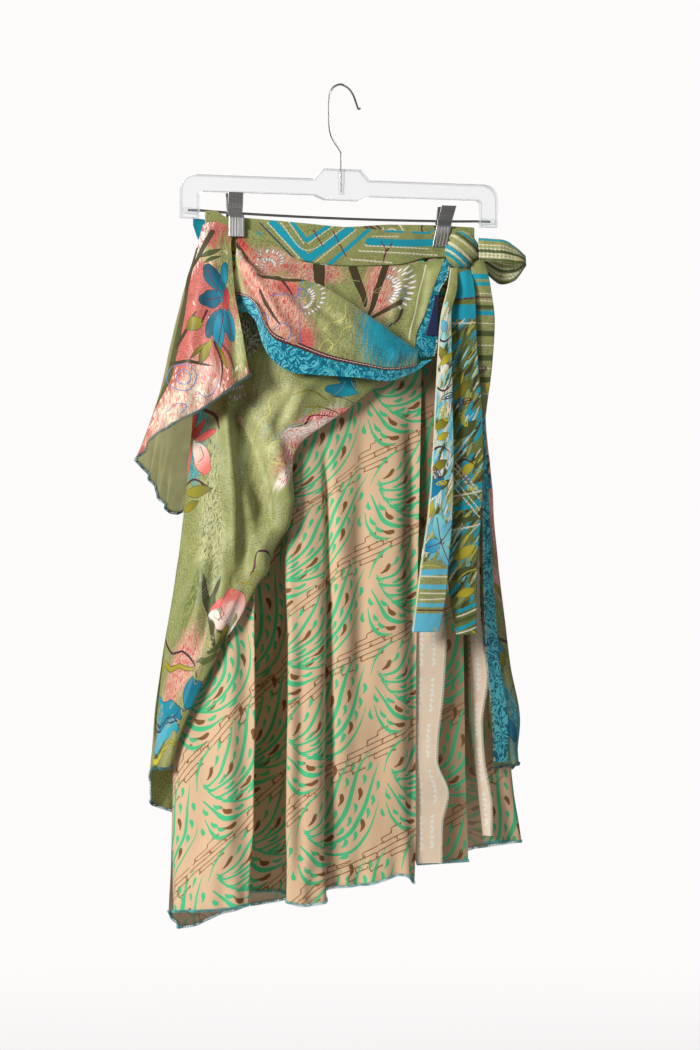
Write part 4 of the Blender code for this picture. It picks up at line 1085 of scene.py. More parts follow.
def banded(sheet, bands):
    """Stripes along a sheet's rows: the share of the way down, ink, half width, dashed or not."""
    for (share, ink, half_width, *dashed), _ in table(bands):
        row = round(float(share) * (len(sheet.cloth.u) - 1))
        line = np.c_[sheet.cloth.u[row], sheet.cloth.v[row]][::3]
        (sheet.dashes if dashed else sheet.thin)(line, getattr(Ink, ink), float(half_width))


def blossoms(sheet, seed, count):
    """Whole flowers with leaves, twigs and a flush of colour, scattered over a hidden side."""
    rng = np.random.default_rng(seed)
    for number in range(count):
        pick = rng.integers(sheet.u.size)
        middle = np.array((sheet.u[pick], sheet.v[pick]))
        turn, warm = rng.uniform(0, 6.28), number % 3 != 1
        sheet.patch(middle + rng.normal(0, 12, 2), (34, 22), turn, Ink.ROSE if warm else Ink.TURQUOISE, 0.5,
                    Ink.RED if warm else Ink.SKY_PALE, 0.8)
        for share in range(4):
            a = turn + 2.2 + share * 0.35
            way = np.array((math.cos(a), math.sin(a))) * (18 + 5 * share)
            leaf = middle + np.outer((0.35, 0.7, 1), way)
            sheet.shape(leaf, profile("leaf", 4.5), Ink.LEAF, "high", Ink.LEAF_DEEP)
        stem = middle + np.outer(np.linspace(0, 46, 8), (math.cos(turn + 3.6), math.sin(turn + 3.6)))
        sheet.shape(stem + rng.normal(0, 1, (8, 2)), (2.4, 2.0, 1.2), Ink.BRANCH, "high")
        for share in range(6):
            a = turn + share * 1.05
            way = np.array((math.cos(a), math.sin(a))) * rng.uniform(11, 15)
            sheet.shape(middle + np.outer((0.15, 1), way), profile("petal", 5.4),
                        Ink.TEAL if warm else Ink.ROSE_HOT, "high", Ink.TEAL_LIGHT if warm else Ink.PETAL)
        sheet.shape(np.array((middle, middle + (0.5, 0.5))), (3, 3), Ink.CRIMSON, "high")


satin = cloth_finish("olive printed satin", 0.52, 0.3, outline=0.7, mottle=0.2, mottle_scale=55,
                     threads=3000, relief=0.00006, gloss=0.4, pebble=0.3, stipple=1.0)


def band_levels(band):
    """The top and the foot of a stretch of the band."""
    return [[(x, y, top) for x, top, _, y in band], [(x, y, foot) for x, _, foot, y in band]]


band_cloth = Cloth(band_levels(BAND_FRONT), 1.2, home=0.5)
BAND_FIGURES = """
shape TURQUOISE 4.2 -77,-152 -39,-190 8,-156; 2.2 -57,-150 -41,-170 -17,-154; 2.2 -16,-196 30,-155
1.6 -93,-163 -83,-177; 3.9 28,-169 64,-169 105,-167; 2.3 49,-151 67,-151; 2.3 80,-151 98,-152
dash CREAM 0.7 -83,-152 -46,-191; 0.7 -32,-194 15,-156; 0.6 -69,-152 -40,-180 2,-153; 0.6 -61,-150 -43,-174
0.6 -38,-173 -11,-153; 0.8 33,-163 64,-162; 0.9 25,-174 100,-174; 1 18,-179 107,-181; 1 8,-189 56,-191
line NAVY 0.7 -91,-152 -53,-190
line MAROON 0.6 -33,-159 -23,-175; 0.6 -11,-160 2,-185; 0.7 45,-191 48,-177 43,-170; 0.7 46,-184 55,-170
line OLIVE_LIGHT 0.8 -104,-178 -83,-188 -48,-194
"""
band_print = Print(band_cloth, Ink.OLIVE)
draw(band_print, BAND_FIGURES)
cloth_piece("waistband_front_silk", band_print, satin, "waistband_front",
            thickness=2.5)
band_back = Cloth(band_levels(BAND_BACK), 1.6, home=0.5)
band_back_print = Print(band_back, Ink.OLIVE)
doodles(band_back_print, 31, 40, (Ink.TURQUOISE, Ink.CREAM, Ink.MAROON), 0.9)
cloth_piece("waistband_back_silk", band_back_print, satin, "waistband_back",
            thickness=2.5)
end_rows = [[(-150.5, 1.65, -149.5), (-157, 1.2, -149), (-163.5, 0, -149)],
            [(-150.5, 1.65, -176), (-157, 1.2, -172), (-163.5, 0, -156)]]
band_end = Cloth(end_rows, 1.2)
band_end_print = Print(band_end, Ink.TURQUOISE)
cloth_piece("waistband_end_silk", band_end_print, satin, "waistband_end", thickness=1.0)


# ======================================================================== outer layer
# The shorter outer layer of olive floral satin: a drape that falls from a slanted, turned
# edge round the left side, and the back, which ends in a turquoise border at the right.
OUTER = (
    (72, -25, -297, -150, 0, -188.6, .60, 0, 7, 150, 0, -188.8, 144, -3.5, -185.6),
    (36, -32, -323, -155, -1, -240, .65, 2, 22, 158, 2, -240, 140, -10, -240),
    (-1, -37, -352, -160, -2, -300, .70, 6, 31, 164, 4, -300, 146, -12, -300),
    (-62, -42, -400, -165, -3, -370, .58, 6, 38, 166, 5, -360, 153, -13, -361),
    (-73, -47, -468, -171, -4, -440, .30, 9, 43, 173, 5, -430, 154, -14, -440),
    (-117, -54, -563, -183, -4, -530, .35, 4, 46, 182, 5, -530, 154.5, -15, -520),
    (-165, -46, -648, -197, -3, -620, .50, 3, 49, 194, 5, -625, 158, -15, -620),
    (-184, -34, -700, -205, 0, -690, .50, 2, 51, 206, 5, -695, 165, -15, -690),
    (-189, -25, -729, -206, 2, -733, .50, 1, 53, 204, 5, -738, 167, -14, -741),
)   # slanted edge xyz, left side xyz, trough's place and depth, back's y, right side xyz, front edge xyz
PLEAT = (
    (72, -25, -297), (40, -26, -277), (0, -25, -257), (-40, -22, -239),
    (-80, -18, -224), (-112, -13, -210), (-135, -8, -198), (-150, 0, -188.6),
)
TURNED_EDGE = ((-11, 6, 3), (-2.4, 4.9, 0.6), (0, 2.4, 0))
DRAPE_SHARES = (0.12, 0.5, 1.0, 1.5, 1.86)
BACK_SHARES = (0.2, 0.36, 0.5, 0.64, 0.8)
HEM_DROP = (34, 58, 52, 44, 32, 18, 6)


def outer_rows():
    """Control points of the outer layer, from the slanted edge round to the right front."""
    made = []
    for number, level in enumerate(OUTER):
        edge, left, valley, trough, back_y = (np.array(level[:3], float), np.array(level[3:6], float),
                                              level[6], level[7], level[8])
        width = min(1.0, (edge[0] - left[0]) / 40)
        row = [edge + np.multiply(turn, (width, 1, 1)) for turn in TURNED_EDGE]
        for share in DRAPE_SHARES:
            way = valley * min(share, 1) + (1 - valley) * max(0.0, share - 1)
            if number == 0:
                row.append(smooth(PLEAT, [way * (len(PLEAT) - 1)])[0])
                continue
            point = edge + (left - edge) * way
            point[1] = edge[1] + (left[1] - edge[1]) * way ** 4
            point[1] += trough if share == 1.0 else -trough / 3 * (share in (0.5, 1.5))
            row.append(point)
        row.append(left)
        right = np.array(level[9:12], float)
        hem = number == len(OUTER) - 1
        inset = 3 / (right[0] - left[0])
        shares = (-inset if hem else inset, *BACK_SHARES, 1 - inset)
        for place, share in enumerate(shares):
            point = left + (right - left) * share
            from_side = min(place, len(shares) - 1 - place)
            depth = (0.30, 0.86)[from_side] if from_side < 2 else 1.0
            wave = 4.0 * number / len(OUTER) if from_side >= 2 else 0.0
            point[1] = left[1] + (back_y - left[1]) * depth + wave * (-1) ** place
            if number == 0:
                point = np.array(band_foot(BAND_BACK, point[0], 0.6, 1.9))
            if hem:
                point[2] -= HEM_DROP[place]
            row.append(point)
        row.append(right)
        row.append(np.array(level[12:15], float))
        made.append(row)
    return made


layer_rows = outer_rows()
LEFT_TURN, LAST_STATION = 8, len(layer_rows[0]) - 1
drape = Cloth(layer_rows, 1.54, stations=(0, LEFT_TURN), home=1.0)
# The OLIVE_DEEP field with dim petal streaks just under the swag's hem is painted shadow, where the swag
# shades the drape.
DRAPE_FIGURES = """
field TURQUOISE SKY_PALE 13 -157,-365 -155,-409
field TURQUOISE OLIVE 10 -167,-414 -163,-430
field PETAL CORAL 16 -46,-374 -14,-350
field ROSE_HOT PETAL 7 -26,-358 -6,-348
field CORAL PETAL 15 -74,-402 -52,-390
field PETAL RED 9 -74,-424 -66,-410
field OLIVE_LIGHT 22 -99,-365 -92,-449
field OLIVE_LIGHT OLIVE_DEEP 12 -150,-470 -155,-554
field OLIVE_MID OLIVE 10 -172,-550 -182,-590
field FLUSH RED 24 -185,-625 -191,-665
field OLIVE_DEEP BRANCH 14 -202,-709 -204,-727
field OLIVE_DEEP PETAL_DIM 14 -111,-270 -99,-293
petal CRIMSON ROSE_HOT 4.2 -167,-382 -163,-358; 4.6 -165,-383 -155,-366
petal CORAL ROSE_HOT 5 -163,-385 -147,-377; 5.2 -167,-386 -173,-422
petal PETAL CORAL 10.5 -162,-389 -155,-416
petal PETAL ROSE 5 -164,-386 -161,-409
stem MAROON 2 -156,-352 -145,-360 -142,-374; 1.4 -176,-433 -165,-427 -154,-434
leaf LEAF LEAF_DEEP 7 -178,-441 -150,-438; 6 -180,-461 -162,-450
fan PETAL 1.4 -119,-321 -137,-332 -122,-346; 1.4 -117,-319 -125,-344 -112,-340
1.5 -116,-276 -125,-258 -107,-266; 1.4 -112,-283 -99,-272 -105,-297
petal TURQUOISE TEAL 10 6,-334 -22,-330; 8 4,-340 -18,-358
petal TEAL TURQUOISE 7 6,-327 -10,-316
line NAVY 0.5 -22,-338 -6,-340 4,-345
stem LEAF 1.4 -62,-337 -41,-333 -18,-349; 1.4 -49,-350 -31,-350 -16,-356
stem MAROON 1.3 -62,-372 -43,-360 -13,-362; 1.3 -112,-527 -108,-508 -101,-503 -93,-509
stem YELLOW 1.3 -112,-552 -105,-542 -107,-528 -119,-521 -131,-526 -134,-538 -129,-546 -120,-546
1.2 -126,-534 -115,-537 -107,-545
leaf BRANCH OLIVE_DEEP 3.6 -162,-525 -156,-561 -151,-602; 3.4 -144,-529 -150,-546 -156,-561
stem OLIVE_DEEP BRANCH 4.6 -154,-554 -152,-602
petal CORAL ROSE_HOT 8 -142,-552 -152,-565
petal PETAL CORAL 12.5 -132,-586 -133,-550
petal PETAL ROSE 6.5 -133,-584 -135,-558
petal ROSE PETAL 5 -140,-584 -154,-568
stem LEAF LEAF_DEEP 5 -140,-585 -147,-602
leaf OLIVE_MID OLIVE_DEEP 5.5 -143,-602 -160,-607; 5.5 -143,-614 -171,-621; 6.5 -152,-628 -169,-642
6 -133,-590 -145,-605
stem LEAF 2.7 -208,-631 -194,-623 -180,-626 -169,-635
stem MAROON 1.1 -198,-597 -180,-610 -169,-635
petal TURQUOISE TEAL 10.5 -182,-669 -176,-640
petal TEAL TURQUOISE 9 -186,-677 -202,-662
petal TURQUOISE SKY 8 -188,-692 -208,-700
line NAVY 0.6 -172,-668 -184,-668 -190,-676 -204,-682; 0.6 -186,-686 -196,-684 -208,-690
leaf LEAF BARK 4.2 -211,-658 -207,-692; 4.2 -213,-718 -207,-690
stem YELLOW LEAF 2.4 -210,-725 -199,-711 -191,-705
line PALE_YELLOW 0.5 -92,-405 -90,-392 -79,-386 -68,-392 -68,-405 -79,-411 -88,-409
line BLUE_PALE 0.5 -88,-386 -73,-375 -57,-366 -46,-351
line PALE_YELLOW 0.5 -105,-386 -99,-365 -90,-346 -75,-335
line MAROON 0.45 -146,-561 -142,-569 -148,-575; 0.45 -159,-393 -157,-403 -161,-409
"""
drape.crease("""
7 9 -134,-330 -132,-428 -129,-540; 9 -12 -125,-342 -114,-375 -99,-428 -88,-490
8 5 -119,-430 -107,-481 -97,-540; 9 7 -96,-350 -79,-409 -72,-449 -80,-500; 8 4 -137,-470 -142,-554 -159,-630
6 -3 -149,-450 -152,-533 -162,-610; 7 -3 -112,-513 -131,-576 -150,-640; 7 -4 -57,-325 -79,-365 -92,-400
8 -4 -112,-276 -99,-314 -64,-335; 8 3 -160,-380 -164,-500 -176,-640; 7 3 -20,-300 -50,-330 -72,-370
6 -3 -186,-600 -196,-660 -200,-715
""")
drape.wrinkle(0.8, 38, 13)
drape.ruffle(1.8, 30, 34, 14)
drape_print = Print(drape, Ink.OLIVE)
draw(drape_print, DRAPE_FIGURES)
doodles(drape_print, 11, 70, (Ink.FAINT, Ink.FAINT_BLUE, Ink.FAINT))
teal_thread = thread_finish("teal thread", linear(44, 104, 108))
overlock("outer_layer_drape_overlock", drape, teal_thread)
cloth_piece("outer_layer_drape", drape_print, satin, "outer_drape")

outer_back = Cloth(layer_rows, 2.7, stations=(LEFT_TURN, LAST_STATION))
outer_back.crease("""
14 6 -95,-230 -110,-420 -125,-700; 18 -6 -20,-240 -30,-480 -24,-740; 14 6 52,-230 70,-460 82,-730
12 -4 120,-300 140,-520 150,-730
""")
outer_back.wrinkle(1.0, 52, 15)
outer_back.ruffle(2.0, 40, 40, 16)
outer_back_print = Print(outer_back, Ink.OLIVE)
blossoms(outer_back_print, 21, 32)
draw(outer_back_print, """
field PINK PETAL 14 172,-440 182,-560
field TURQUOISE SKY_PALE 13 188,-672 200,-706
field ROSE ROSE_HOT 8 176,-540 184,-575
stem BRANCH 2.4 158,-404 166,-400 176,-404; 2 160,-424 178,-420; 2 172,-598 184,-622 192,-660
1.6 176,-650 198,-676
leaf LEAF LEAF_DEEP 5 168,-536 180,-572
leaf LEAF_DEEP OLIVE_DEEP 5 182,-600 194,-630
stem YELLOW LEAF 1.8 171,-692 186,-698 200,-694
petal SKY_BRIGHT TEAL 7 184,-688 198,-712
""")
doodles(outer_back_print, 22, 110, (Ink.FAINT, Ink.FAINT_BLUE), 0.5)
overlock("outer_layer_back_overlock", outer_back, teal_thread)
cloth_piece("outer_layer_back", outer_back_print, satin, "outer_back")

border_silk = cloth_finish("turquoise border silk", 0.5, 0.2, outline=0.3, mottle=0.08, mottle_scale=200,
                           threads=3000, relief=0.00006, gloss=0.4)


def scroll_print(finish, dark, light, scale):
    """Lays curling scrolls, dark with pale rims, under whatever else is printed."""
    tree = finish.node_tree
    colour = tree.nodes["Principled BSDF"].inputs["Base Color"]
    curls = add(tree, "TexNoise", Vector=flat_map(tree), Scale=scale, Detail=1.5, Distortion=2.6)
    bands = sum_node(tree, "SINE", times(tree, curls.outputs["Fac"], 24.0))
    inside = mixed(tree, stepped(tree, bands, -0.35, -0.15), colour.links[0].from_socket, dark)
    rim = times(tree, stepped(tree, sum_node(tree, "SUBTRACT", 0.75, bands), 0.0, 0.12), 0.6)
    plug(tree, mixed(tree, rim, inside, light), colour)


scroll_print(border_silk, linear(8, 96, 124), linear(128, 210, 212), 62)
border_cloth = Cloth(layer_rows, 1.2, levels=(2.6, 7.9), stations=(LAST_STATION - 0.42, LAST_STATION),
                     home=1.0)
border_cloth.raise_by(1.8)
# Its ground is a lighter turquoise than the other borders' TURQUOISE: painted light, set against the shade
# the ties cast on it.
border_print = Print(border_cloth, linear(70, 214, 228))
border_print.thin(border_cloth.column(-2), Ink.CREAM, 1.3)
cloth_piece("right_border_silk", border_print, border_silk, "right_border")


# ======================================================================== front lap
# The outer layer's lap at the hip: flowered satin sewn over the band at the left, with a
# turquoise border strip down its free edge, and a bare navy label stitched to that strip.
LAP_EDGE = (
    (122, 115, -186, -184.5, -5), (115.5, 104, -206, -206, -16), (105, 96, -224, -224, -19),
    (103, 88, -247, -247, -22), (103, 77, -273, -273, -24), (99, 75, -292, -296, -26),
)                                      # strip's right and left x, their z, and y
LAP = (
    (60, -8.6, -194, 46, -26, -279.5), (0, -10.3, -196.6, 0, -25, -256.5),
    (-45, -9.4, -192.5, -40, -22, -238.5), (-80, -7.4, -172, -80, -18, -223.5),
    (-119, -5.9, -152, -112, -12, -209.5),
)                                      # top and foot of the lap
lap_rows = []
for number, (right, left, right_z, left_z, y) in enumerate(LAP_EDGE):
    share = number / (len(LAP_EDGE) - 1)
    row = [(right, y, right_z), (left, y, left_z)]
    for station in LAP:
        top, foot = np.array(station[:3], float), np.array(station[3:], float)
        point = top + (foot - top) * share
        point[1] = top[1] + (foot[1] - top[1]) * share ** 1.5
        row.append(point)
    lap_rows.append(row)
lap_cloth = Cloth(lap_rows, 1.25, stations=(1, len(LAP) + 1), home=0.3)
lap_cloth.crease("""
6 3 -126,-168 -93,-195 -51,-205; 5 -2.5 94,-190 85,-232 74,-270; 6 3 74,-187 60,-232 50,-262
8 -2 -20,-200 -6,-225 20,-255
""")
lap_cloth.wrinkle(0.6, 34, 17)
LAP_FIGURES = """
field FLUSH RED 17 40,-216 36,-252; 12 -38,-204 -2,-208; 15 -84,-195 -56,-203
field CORAL RED 5 -117,-173 -104,-185
fan PETAL 2 41,-224 76,-191 65,-245; 1.9 42,-216 60,-191 74,-217; 1.6 -86,-202 -93,-180 -67,-195
1.3 -86,-204 -99,-196 -93,-183
stem BRANCH 5.5 -28,-194 -25,-226; 4 10,-193 20,-225 22,-240; 4.2 47,-192 38,-220 24,-253
3.2 62,-235 44,-244 24,-257; 1.8 63,-243 58,-254 47,-262
line CREAM 0.8 93,-193 81,-232 69,-275
line BLUE 0.45 56,-228 65,-221 69,-226 62,-231
"""
lap_print = Print(lap_cloth, Ink.OLIVE)
draw(lap_print, LAP_FIGURES)
doodles(lap_print, 41, 16, (Ink.FAINT, Ink.FAINT_BLUE))
cloth_piece("front_lap_satin", lap_print, satin, "outer_yoke")

lap_border = Cloth(lap_rows, 1.1, stations=(0.04, 0.96), home=0.5)
lap_border_print = Print(lap_border, Ink.TURQUOISE)
lap_border_print.thin(lap_border.column(1), Ink.CREAM, 0.9)
cloth_piece("front_lap_border", lap_border_print, border_silk, "edge_border")

label_cloth = Cloth(lap_rows, 1.0, levels=(2.1, 3.9), stations=(0.06, 0.62))
label_cloth.raise_by(1.5)
woven = cloth_finish("woven navy label", 0.6, 0.3, mottle=0.05, threads=6000, relief=0.0001,
                     plain=linear(38, 46, 84))
cloth_piece("bare_label", label_cloth, woven, "label",
            thickness=0.9)


# ======================================================================== swag
# The lap's bordered edge lifted from the V up to the left clip: a rolled fold of satin above,
# then a braid, and the turquoise border below, which hangs as a soft scoop.
SWAG = (
    (79, -33, -293, 79.5, -36, -299, 92, -36, -297), (75, -35, -288, 72, -40, -304, 66, -42, -313),
    (52, -38, -273, 40, -48, -310, 36, -49, -322), (30, -39, -258, 10, -51, -306, 8, -51, -319),
    (-2, -39, -237, -28, -51, -299, -30, -50, -317), (-38, -37, -218, -60, -49, -288, -62, -48, -315),
    (-66, -33, -212, -86, -46, -278, -88, -45, -300), (-82, -30, -211, -95, -44, -266, -98, -42, -282),
    (-95, -26, -209, -103, -40, -245, -104, -38, -260), (-112, -18, -196, -113, -32, -234, -113, -30, -250),
    (-118, -8.4, -170.5, -126, -24, -232, -126, -22, -252),
)                                      # fold xyz, braid xyz, hem xyz
turned = [(s[0], s[1] * 0.82, s[2] - 9) for s in SWAG]
turned[-1] = (SWAG[-1][0], SWAG[-1][1] * 0.82, SWAG[-1][2] - 4.5)
swag_rows = [turned, [s[:3] for s in SWAG],
             [((s[0] + s[3]) / 2, (s[1] + s[4]) / 2 - 3, (s[2] + s[5]) / 2) for s in SWAG],
             [s[3:6] for s in SWAG], [s[6:] for s in SWAG]]
swag_cloth = Cloth(swag_rows, 1.15, levels=(0, 3), stations=(1, len(SWAG) - 1), home=0.5)
swag_cloth.crease("""
6 -5 -131,-178 -112,-209 -99,-238 -88,-270; 7 5 -127,-170 -103,-217 -79,-259 -57,-290
6 -4 -57,-227 -2,-268 53,-299; 7 4 -99,-217 -57,-248 -13,-284; 7 4 -24,-247 22,-283 62,-301
6 -3 -70,-222 -40,-262 -20,-298
""")
swag_cloth.wrinkle(0.5, 26, 19)
# The small NAVY field at the V's inner corner is painted shadow.
SWAG_FIGURES = """
field FLUSH RED 27 -92,-228 -52,-292
field CORAL 8 -70,-224 -57,-229; 8 -52,-279 -49,-292
field OLIVE_LIGHT PALE_YELLOW 7 -126,-205 -119,-239
field OLIVE OLIVE_LIGHT 18 -20,-255 0,-291
field OLIVE_LIGHT OLIVE 5 -19,-274 0,-291
field TURQUOISE TEAL_LIGHT 34 44,-268 46,-312
field TURQUOISE TEAL 20 58,-280 70,-296
field NAVY 5 71,-290 75,-294
stem BRANCH 2.4 -135,-174 -112,-198 -94,-214 -64,-232; 2.2 -99,-209 -68,-215 -40,-221
2.2 -99,-228 -92,-243 -80,-264
fan PETAL 1.7 -55,-238 -42,-222 -51,-254; 1.2 -114,-198 -125,-184 -112,-181
line BLUE 0.5 -90,-234 -73,-231 -57,-237 -59,-256 -57,-290
0.5 -57,-231 -54,-225 -49,-227 -51,-233 -56,-233 -58,-227 -53,-221 -45,-224
0.5 -107,-255 -99,-249 -90,-255 -96,-265 -103,-261; 0.5 -86,-269 -77,-263 -68,-269 -73,-282
line PALE_YELLOW 0.5 -33,-268 -24,-260 -9,-255 -7,-242; 0.5 -38,-290 -29,-279 -22,-285 -29,-292
0.5 -18,-281 -11,-268 -2,-264
"""
swag_print = Print(swag_cloth, Ink.OLIVE)
draw(swag_print, SWAG_FIGURES)
cloth_piece("swag_satin", swag_print, satin, "outer_swag")
braid_cloth = Cloth(swag_rows, 0.8, levels=(2.84, 3.0), stations=(1, len(SWAG) - 1), home=0.5)
braid_cloth.raise_by(1.2)
braid_print = Print(braid_cloth, Ink.MAROON)
braid_print.dashes(np.c_[braid_cloth.u.mean(0), braid_cloth.v.mean(0)][::4], Ink.CREAM, 0.4, 3.6)
cloth_piece("swag_braid", braid_print, satin, "outer_swag")
swag_edge = Cloth(swag_rows, 1.1, levels=(3.02, 4), stations=(0, len(SWAG) - 1), home=0.5)
swag_edge_print = Print(swag_edge, Ink.TURQUOISE)
cloth_piece("swag_border_silk", swag_edge_print, border_silk, "swag_border")


# ======================================================================== lifted corner
# The outer layer's corner, caught up under the left clip: printed satin in front, with a
# teal overlocked hem, and the same cloth's duller reverse falling behind it.
FLAP = (
    ((-121, -8.4, -158), (-126, -8.4, -157), (-132, -8.4, -155), (-139, -8.2, -153), (-147, -7.6, -153),
     (-154, -6.8, -156)),
    ((-124, -9.2, -173), (-131, -10, -174), (-139, -13, -175), (-147, -14, -176), (-155, -12, -177),
     (-161, -9, -178)),
    ((-126, -36, -225), (-136, -40, -224), (-147, -38, -223), (-158, -33, -223), (-168, -25, -224),
     (-176, -15, -226)),
    ((-121, -54, -278), (-134, -53, -280), (-149, -48, -282), (-165, -42, -284), (-180, -33, -286),
     (-192, -20, -288)),
    ((-118, -56, -300), (-133, -57, -307), (-151, -52, -315), (-172, -45, -323), (-190, -36, -330),
     (-204, -25, -336)),
    ((-115, -56, -317), (-139, -58, -334), (-164, -52, -353), (-190, -44, -367), (-213, -34, -382),
     (-229, -27, -406)),
)
FLAP_REVERSE = (
    ((-161, -8, -180), (-160, -4, -180), (-158, 0, -181), (-156, 3, -181), (-153, 5, -182),
     (-149, 6, -183)),
    ((-176, -14, -226), (-174, -4, -227), (-169, 6, -228), (-162, 15, -229), (-154, 23, -230),
     (-137, 30, -231)),
    ((-192, -19, -288), (-190, -8, -289), (-185, 4, -290), (-176, 16, -292), (-166, 27, -294),
     (-143, 38, -296)),
    ((-204, -24, -336), (-201, -11, -341), (-195, 3, -347), (-186, 17, -352), (-173, 31, -356),
     (-147, 44, -358)),
    ((-229, -26, -406.5), (-213, -12, -424), (-201, 3, -440), (-191, 18, -455), (-176, 34, -462),
     (-152, 47, -456)),
)
flap_cloth = Cloth(FLAP, 1.2, home=0.0)
flap_cloth.crease("""
8 5 -160,-196 -169,-261 -181,-345 -190,-370; 7 4 -149,-260 -154,-313 -162,-352
7 -4 -139,-190 -132,-260 -128,-325; 7 -4 -179,-209 -190,-272 -206,-350
""")
flap_cloth.wrinkle(0.6, 34, 23)
flap_cloth.ruffle(1.6, 30, 26, 24)
FLAP_FIGURES = """
field OLIVE OLIVE_LIGHT 15 -131,-205 -131,-245; 12 -122,-281 -129,-327
field OLIVE_LIGHT OLIVE 10 -152,-189 -159,-181
field CREAM_INK CORAL 20 -182,-344 -150,-312
field PETAL RED 9 -160,-172 -168,-205
field ROSE CORAL 10 -158,-315 -150,-336
stem BRANCH 3 -145,-164 -159,-187 -166,-202
leaf BRANCH OLIVE_DEEP 12 -160,-180 -180,-240 -197,-292 -214,-352
stem BRANCH 3 -186,-287 -177,-268 -169,-252; 2 -195,-305 -174,-304 -154,-309
leaf OLIVE_DEEP 3.4 -160,-192 -150,-187 -136,-182; 2.4 -157,-199 -148,-193 -137,-190
petal TEAL TEAL_DEEP 9.5 -145,-227 -153,-204
petal TEAL_LIGHT TEAL 5 -139,-226 -134,-199
petal TEAL TEAL_DEEP 10.5 -142,-236 -159,-239; 5.6 -148,-252 -157,-277
petal TEAL TEAL_LIGHT 6.6 -143,-249 -147,-287
petal TEAL_LIGHT TEAL 7.4 -137,-245 -133,-279; 7.5 -137,-244 -140,-222
petal CRIMSON ROSE_HOT 4.6 -135,-226 -137,-247
leaf LEAF LEAF_DEEP 8 -161,-260 -178,-270; 5.2 -154,-280 -167,-307
leaf LEAF_DEEP LEAF 2.8 -151,-282 -138,-314
leaf BARK 2 -145,-284 -135,-298 -129,-317
leaf LEAF LEAF_DEEP 2 -159,-283 -176,-301
stem MAROON 1.2 -152,-284 -144,-308 -147,-337; 1.2 -157,-250 -163,-263
line MAROON 0.5 -153,-206 -150,-218 -142,-231; 0.5 -147,-284 -143,-266 -140,-252
0.5 -133,-277 -134,-262 -137,-251; 0.5 -157,-239 -148,-237 -142,-236
line BLUE 0.5 -189,-320 -184,-313 -178,-315 -176,-323 -181,-328 -188,-326 -189,-320
0.5 -196,-318 -191,-309 -182,-307 -174,-311 -169,-319 -174,-330 -182,-335 -191,-332 -196,-325 -196,-318
0.5 -169,-336 -161,-342 -152,-336 -148,-323; 0.5 -199,-357 -191,-349 -180,-351 -186,-359
"""
flap_print = Print(flap_cloth, linear(206, 112, 100))
draw(flap_print, FLAP_FIGURES)
flap_foot = flap_print.v.max()
brushed(flap_print, 51, 150, (flap_foot - 100, flap_foot - 6), 1.9, (Ink.CREAM_INK, Ink.FLUSH), 1.1, (3, 6))
brushed(flap_print, 52, 22, (30, 120), 1.2, (Ink.CREAM_INK, Ink.DULL_CORAL), 0.9, (4, 9))
cloth_piece("lifted_corner_satin", flap_print, satin, "outer_flap")
overlock("lifted_corner_overlock", flap_cloth, teal_thread)
reverse_cloth = Cloth(FLAP_REVERSE, 1.5, home=0.0)
reverse_cloth.wrinkle(1.0, 30, 25)
reverse_cloth.ruffle(1.6, 26, 26, 26)
dull_reverse = cloth_finish("satin reverse", 0.7, 0.2, mottle=0.10, mottle_scale=50, threads=3000,
                            plain=linear(178, 176, 128), through=0.4)
cloth_piece("lifted_corner_reverse", reverse_cloth, dull_reverse, "outer_flap_under")
overlock("corner_reverse_overlock", reverse_cloth, teal_thread)


# ======================================================================== ties
# Two long flat ties of the striped border, knotted over the lap at the right, with a half
# bow: one loop, one tie folded back down behind, and the two ends hanging in front.
TIE_FRONT = (
    (-196.2, 118, 126, -17), (-222, 108, 119, -37), (-253, 98, 110, -46), (-335, 91, 110, -50),
    (-401, 87, 111, -52), (-468, 81, 109, -53), (-509, 74, 105, -55), (-558, 67, 100, -56),
    (-590, 63, 93, -56),
)                                      # z, left, right and y
TIE_BACK = (
    (-197, 129, 141, -16.4), (-218, 123, 142, -28), (-254, 113, 141, -37), (-300, 113, 143, -38),
    (-350, 113, 147, -40), (-401, 113, 148, -41), (-455, 110, 146, -42), (-525, 107, 140, -43),
    (-594, 116, 139, -43),
)
TIE_FALL = (
    (-186, 141, 157, -16.2), (-215, 142, 162, -22.5), (-254, 135, 164, -31), (-300, 133, 161, -32),
    (-350, 129, 154, -33), (-357, 128.5, 153.5, -30), (-350, 129, 154, -26.5), (-300, 133, 161, -25.5),
    (-254, 135, 163, -24), (-222, 141, 160, -15.5), (-203, 144, 156, -9),
)
TIE_LOOP = (
    ((148.3, -22, -163), (148.5, -24, -188)), ((175, -27, -165), (178, -34, -190)),
    ((195, -24, -176), (197, -31, -191)), ((205, -14, -182), (205, -14, -192)),
    ((200, -5, -184), (196, -4, -207)), ((180, 1, -177), (182, 0, -211)),
    ((148.5, -9, -168), (149.5, -9.5, -190)),
)                                      # top and foot of each section


def tie_rows(levels):
    return [[(right, y, z), ((left + right) / 2, y - 1.2, z), (left, y, z)] for z, left, right, y in levels]


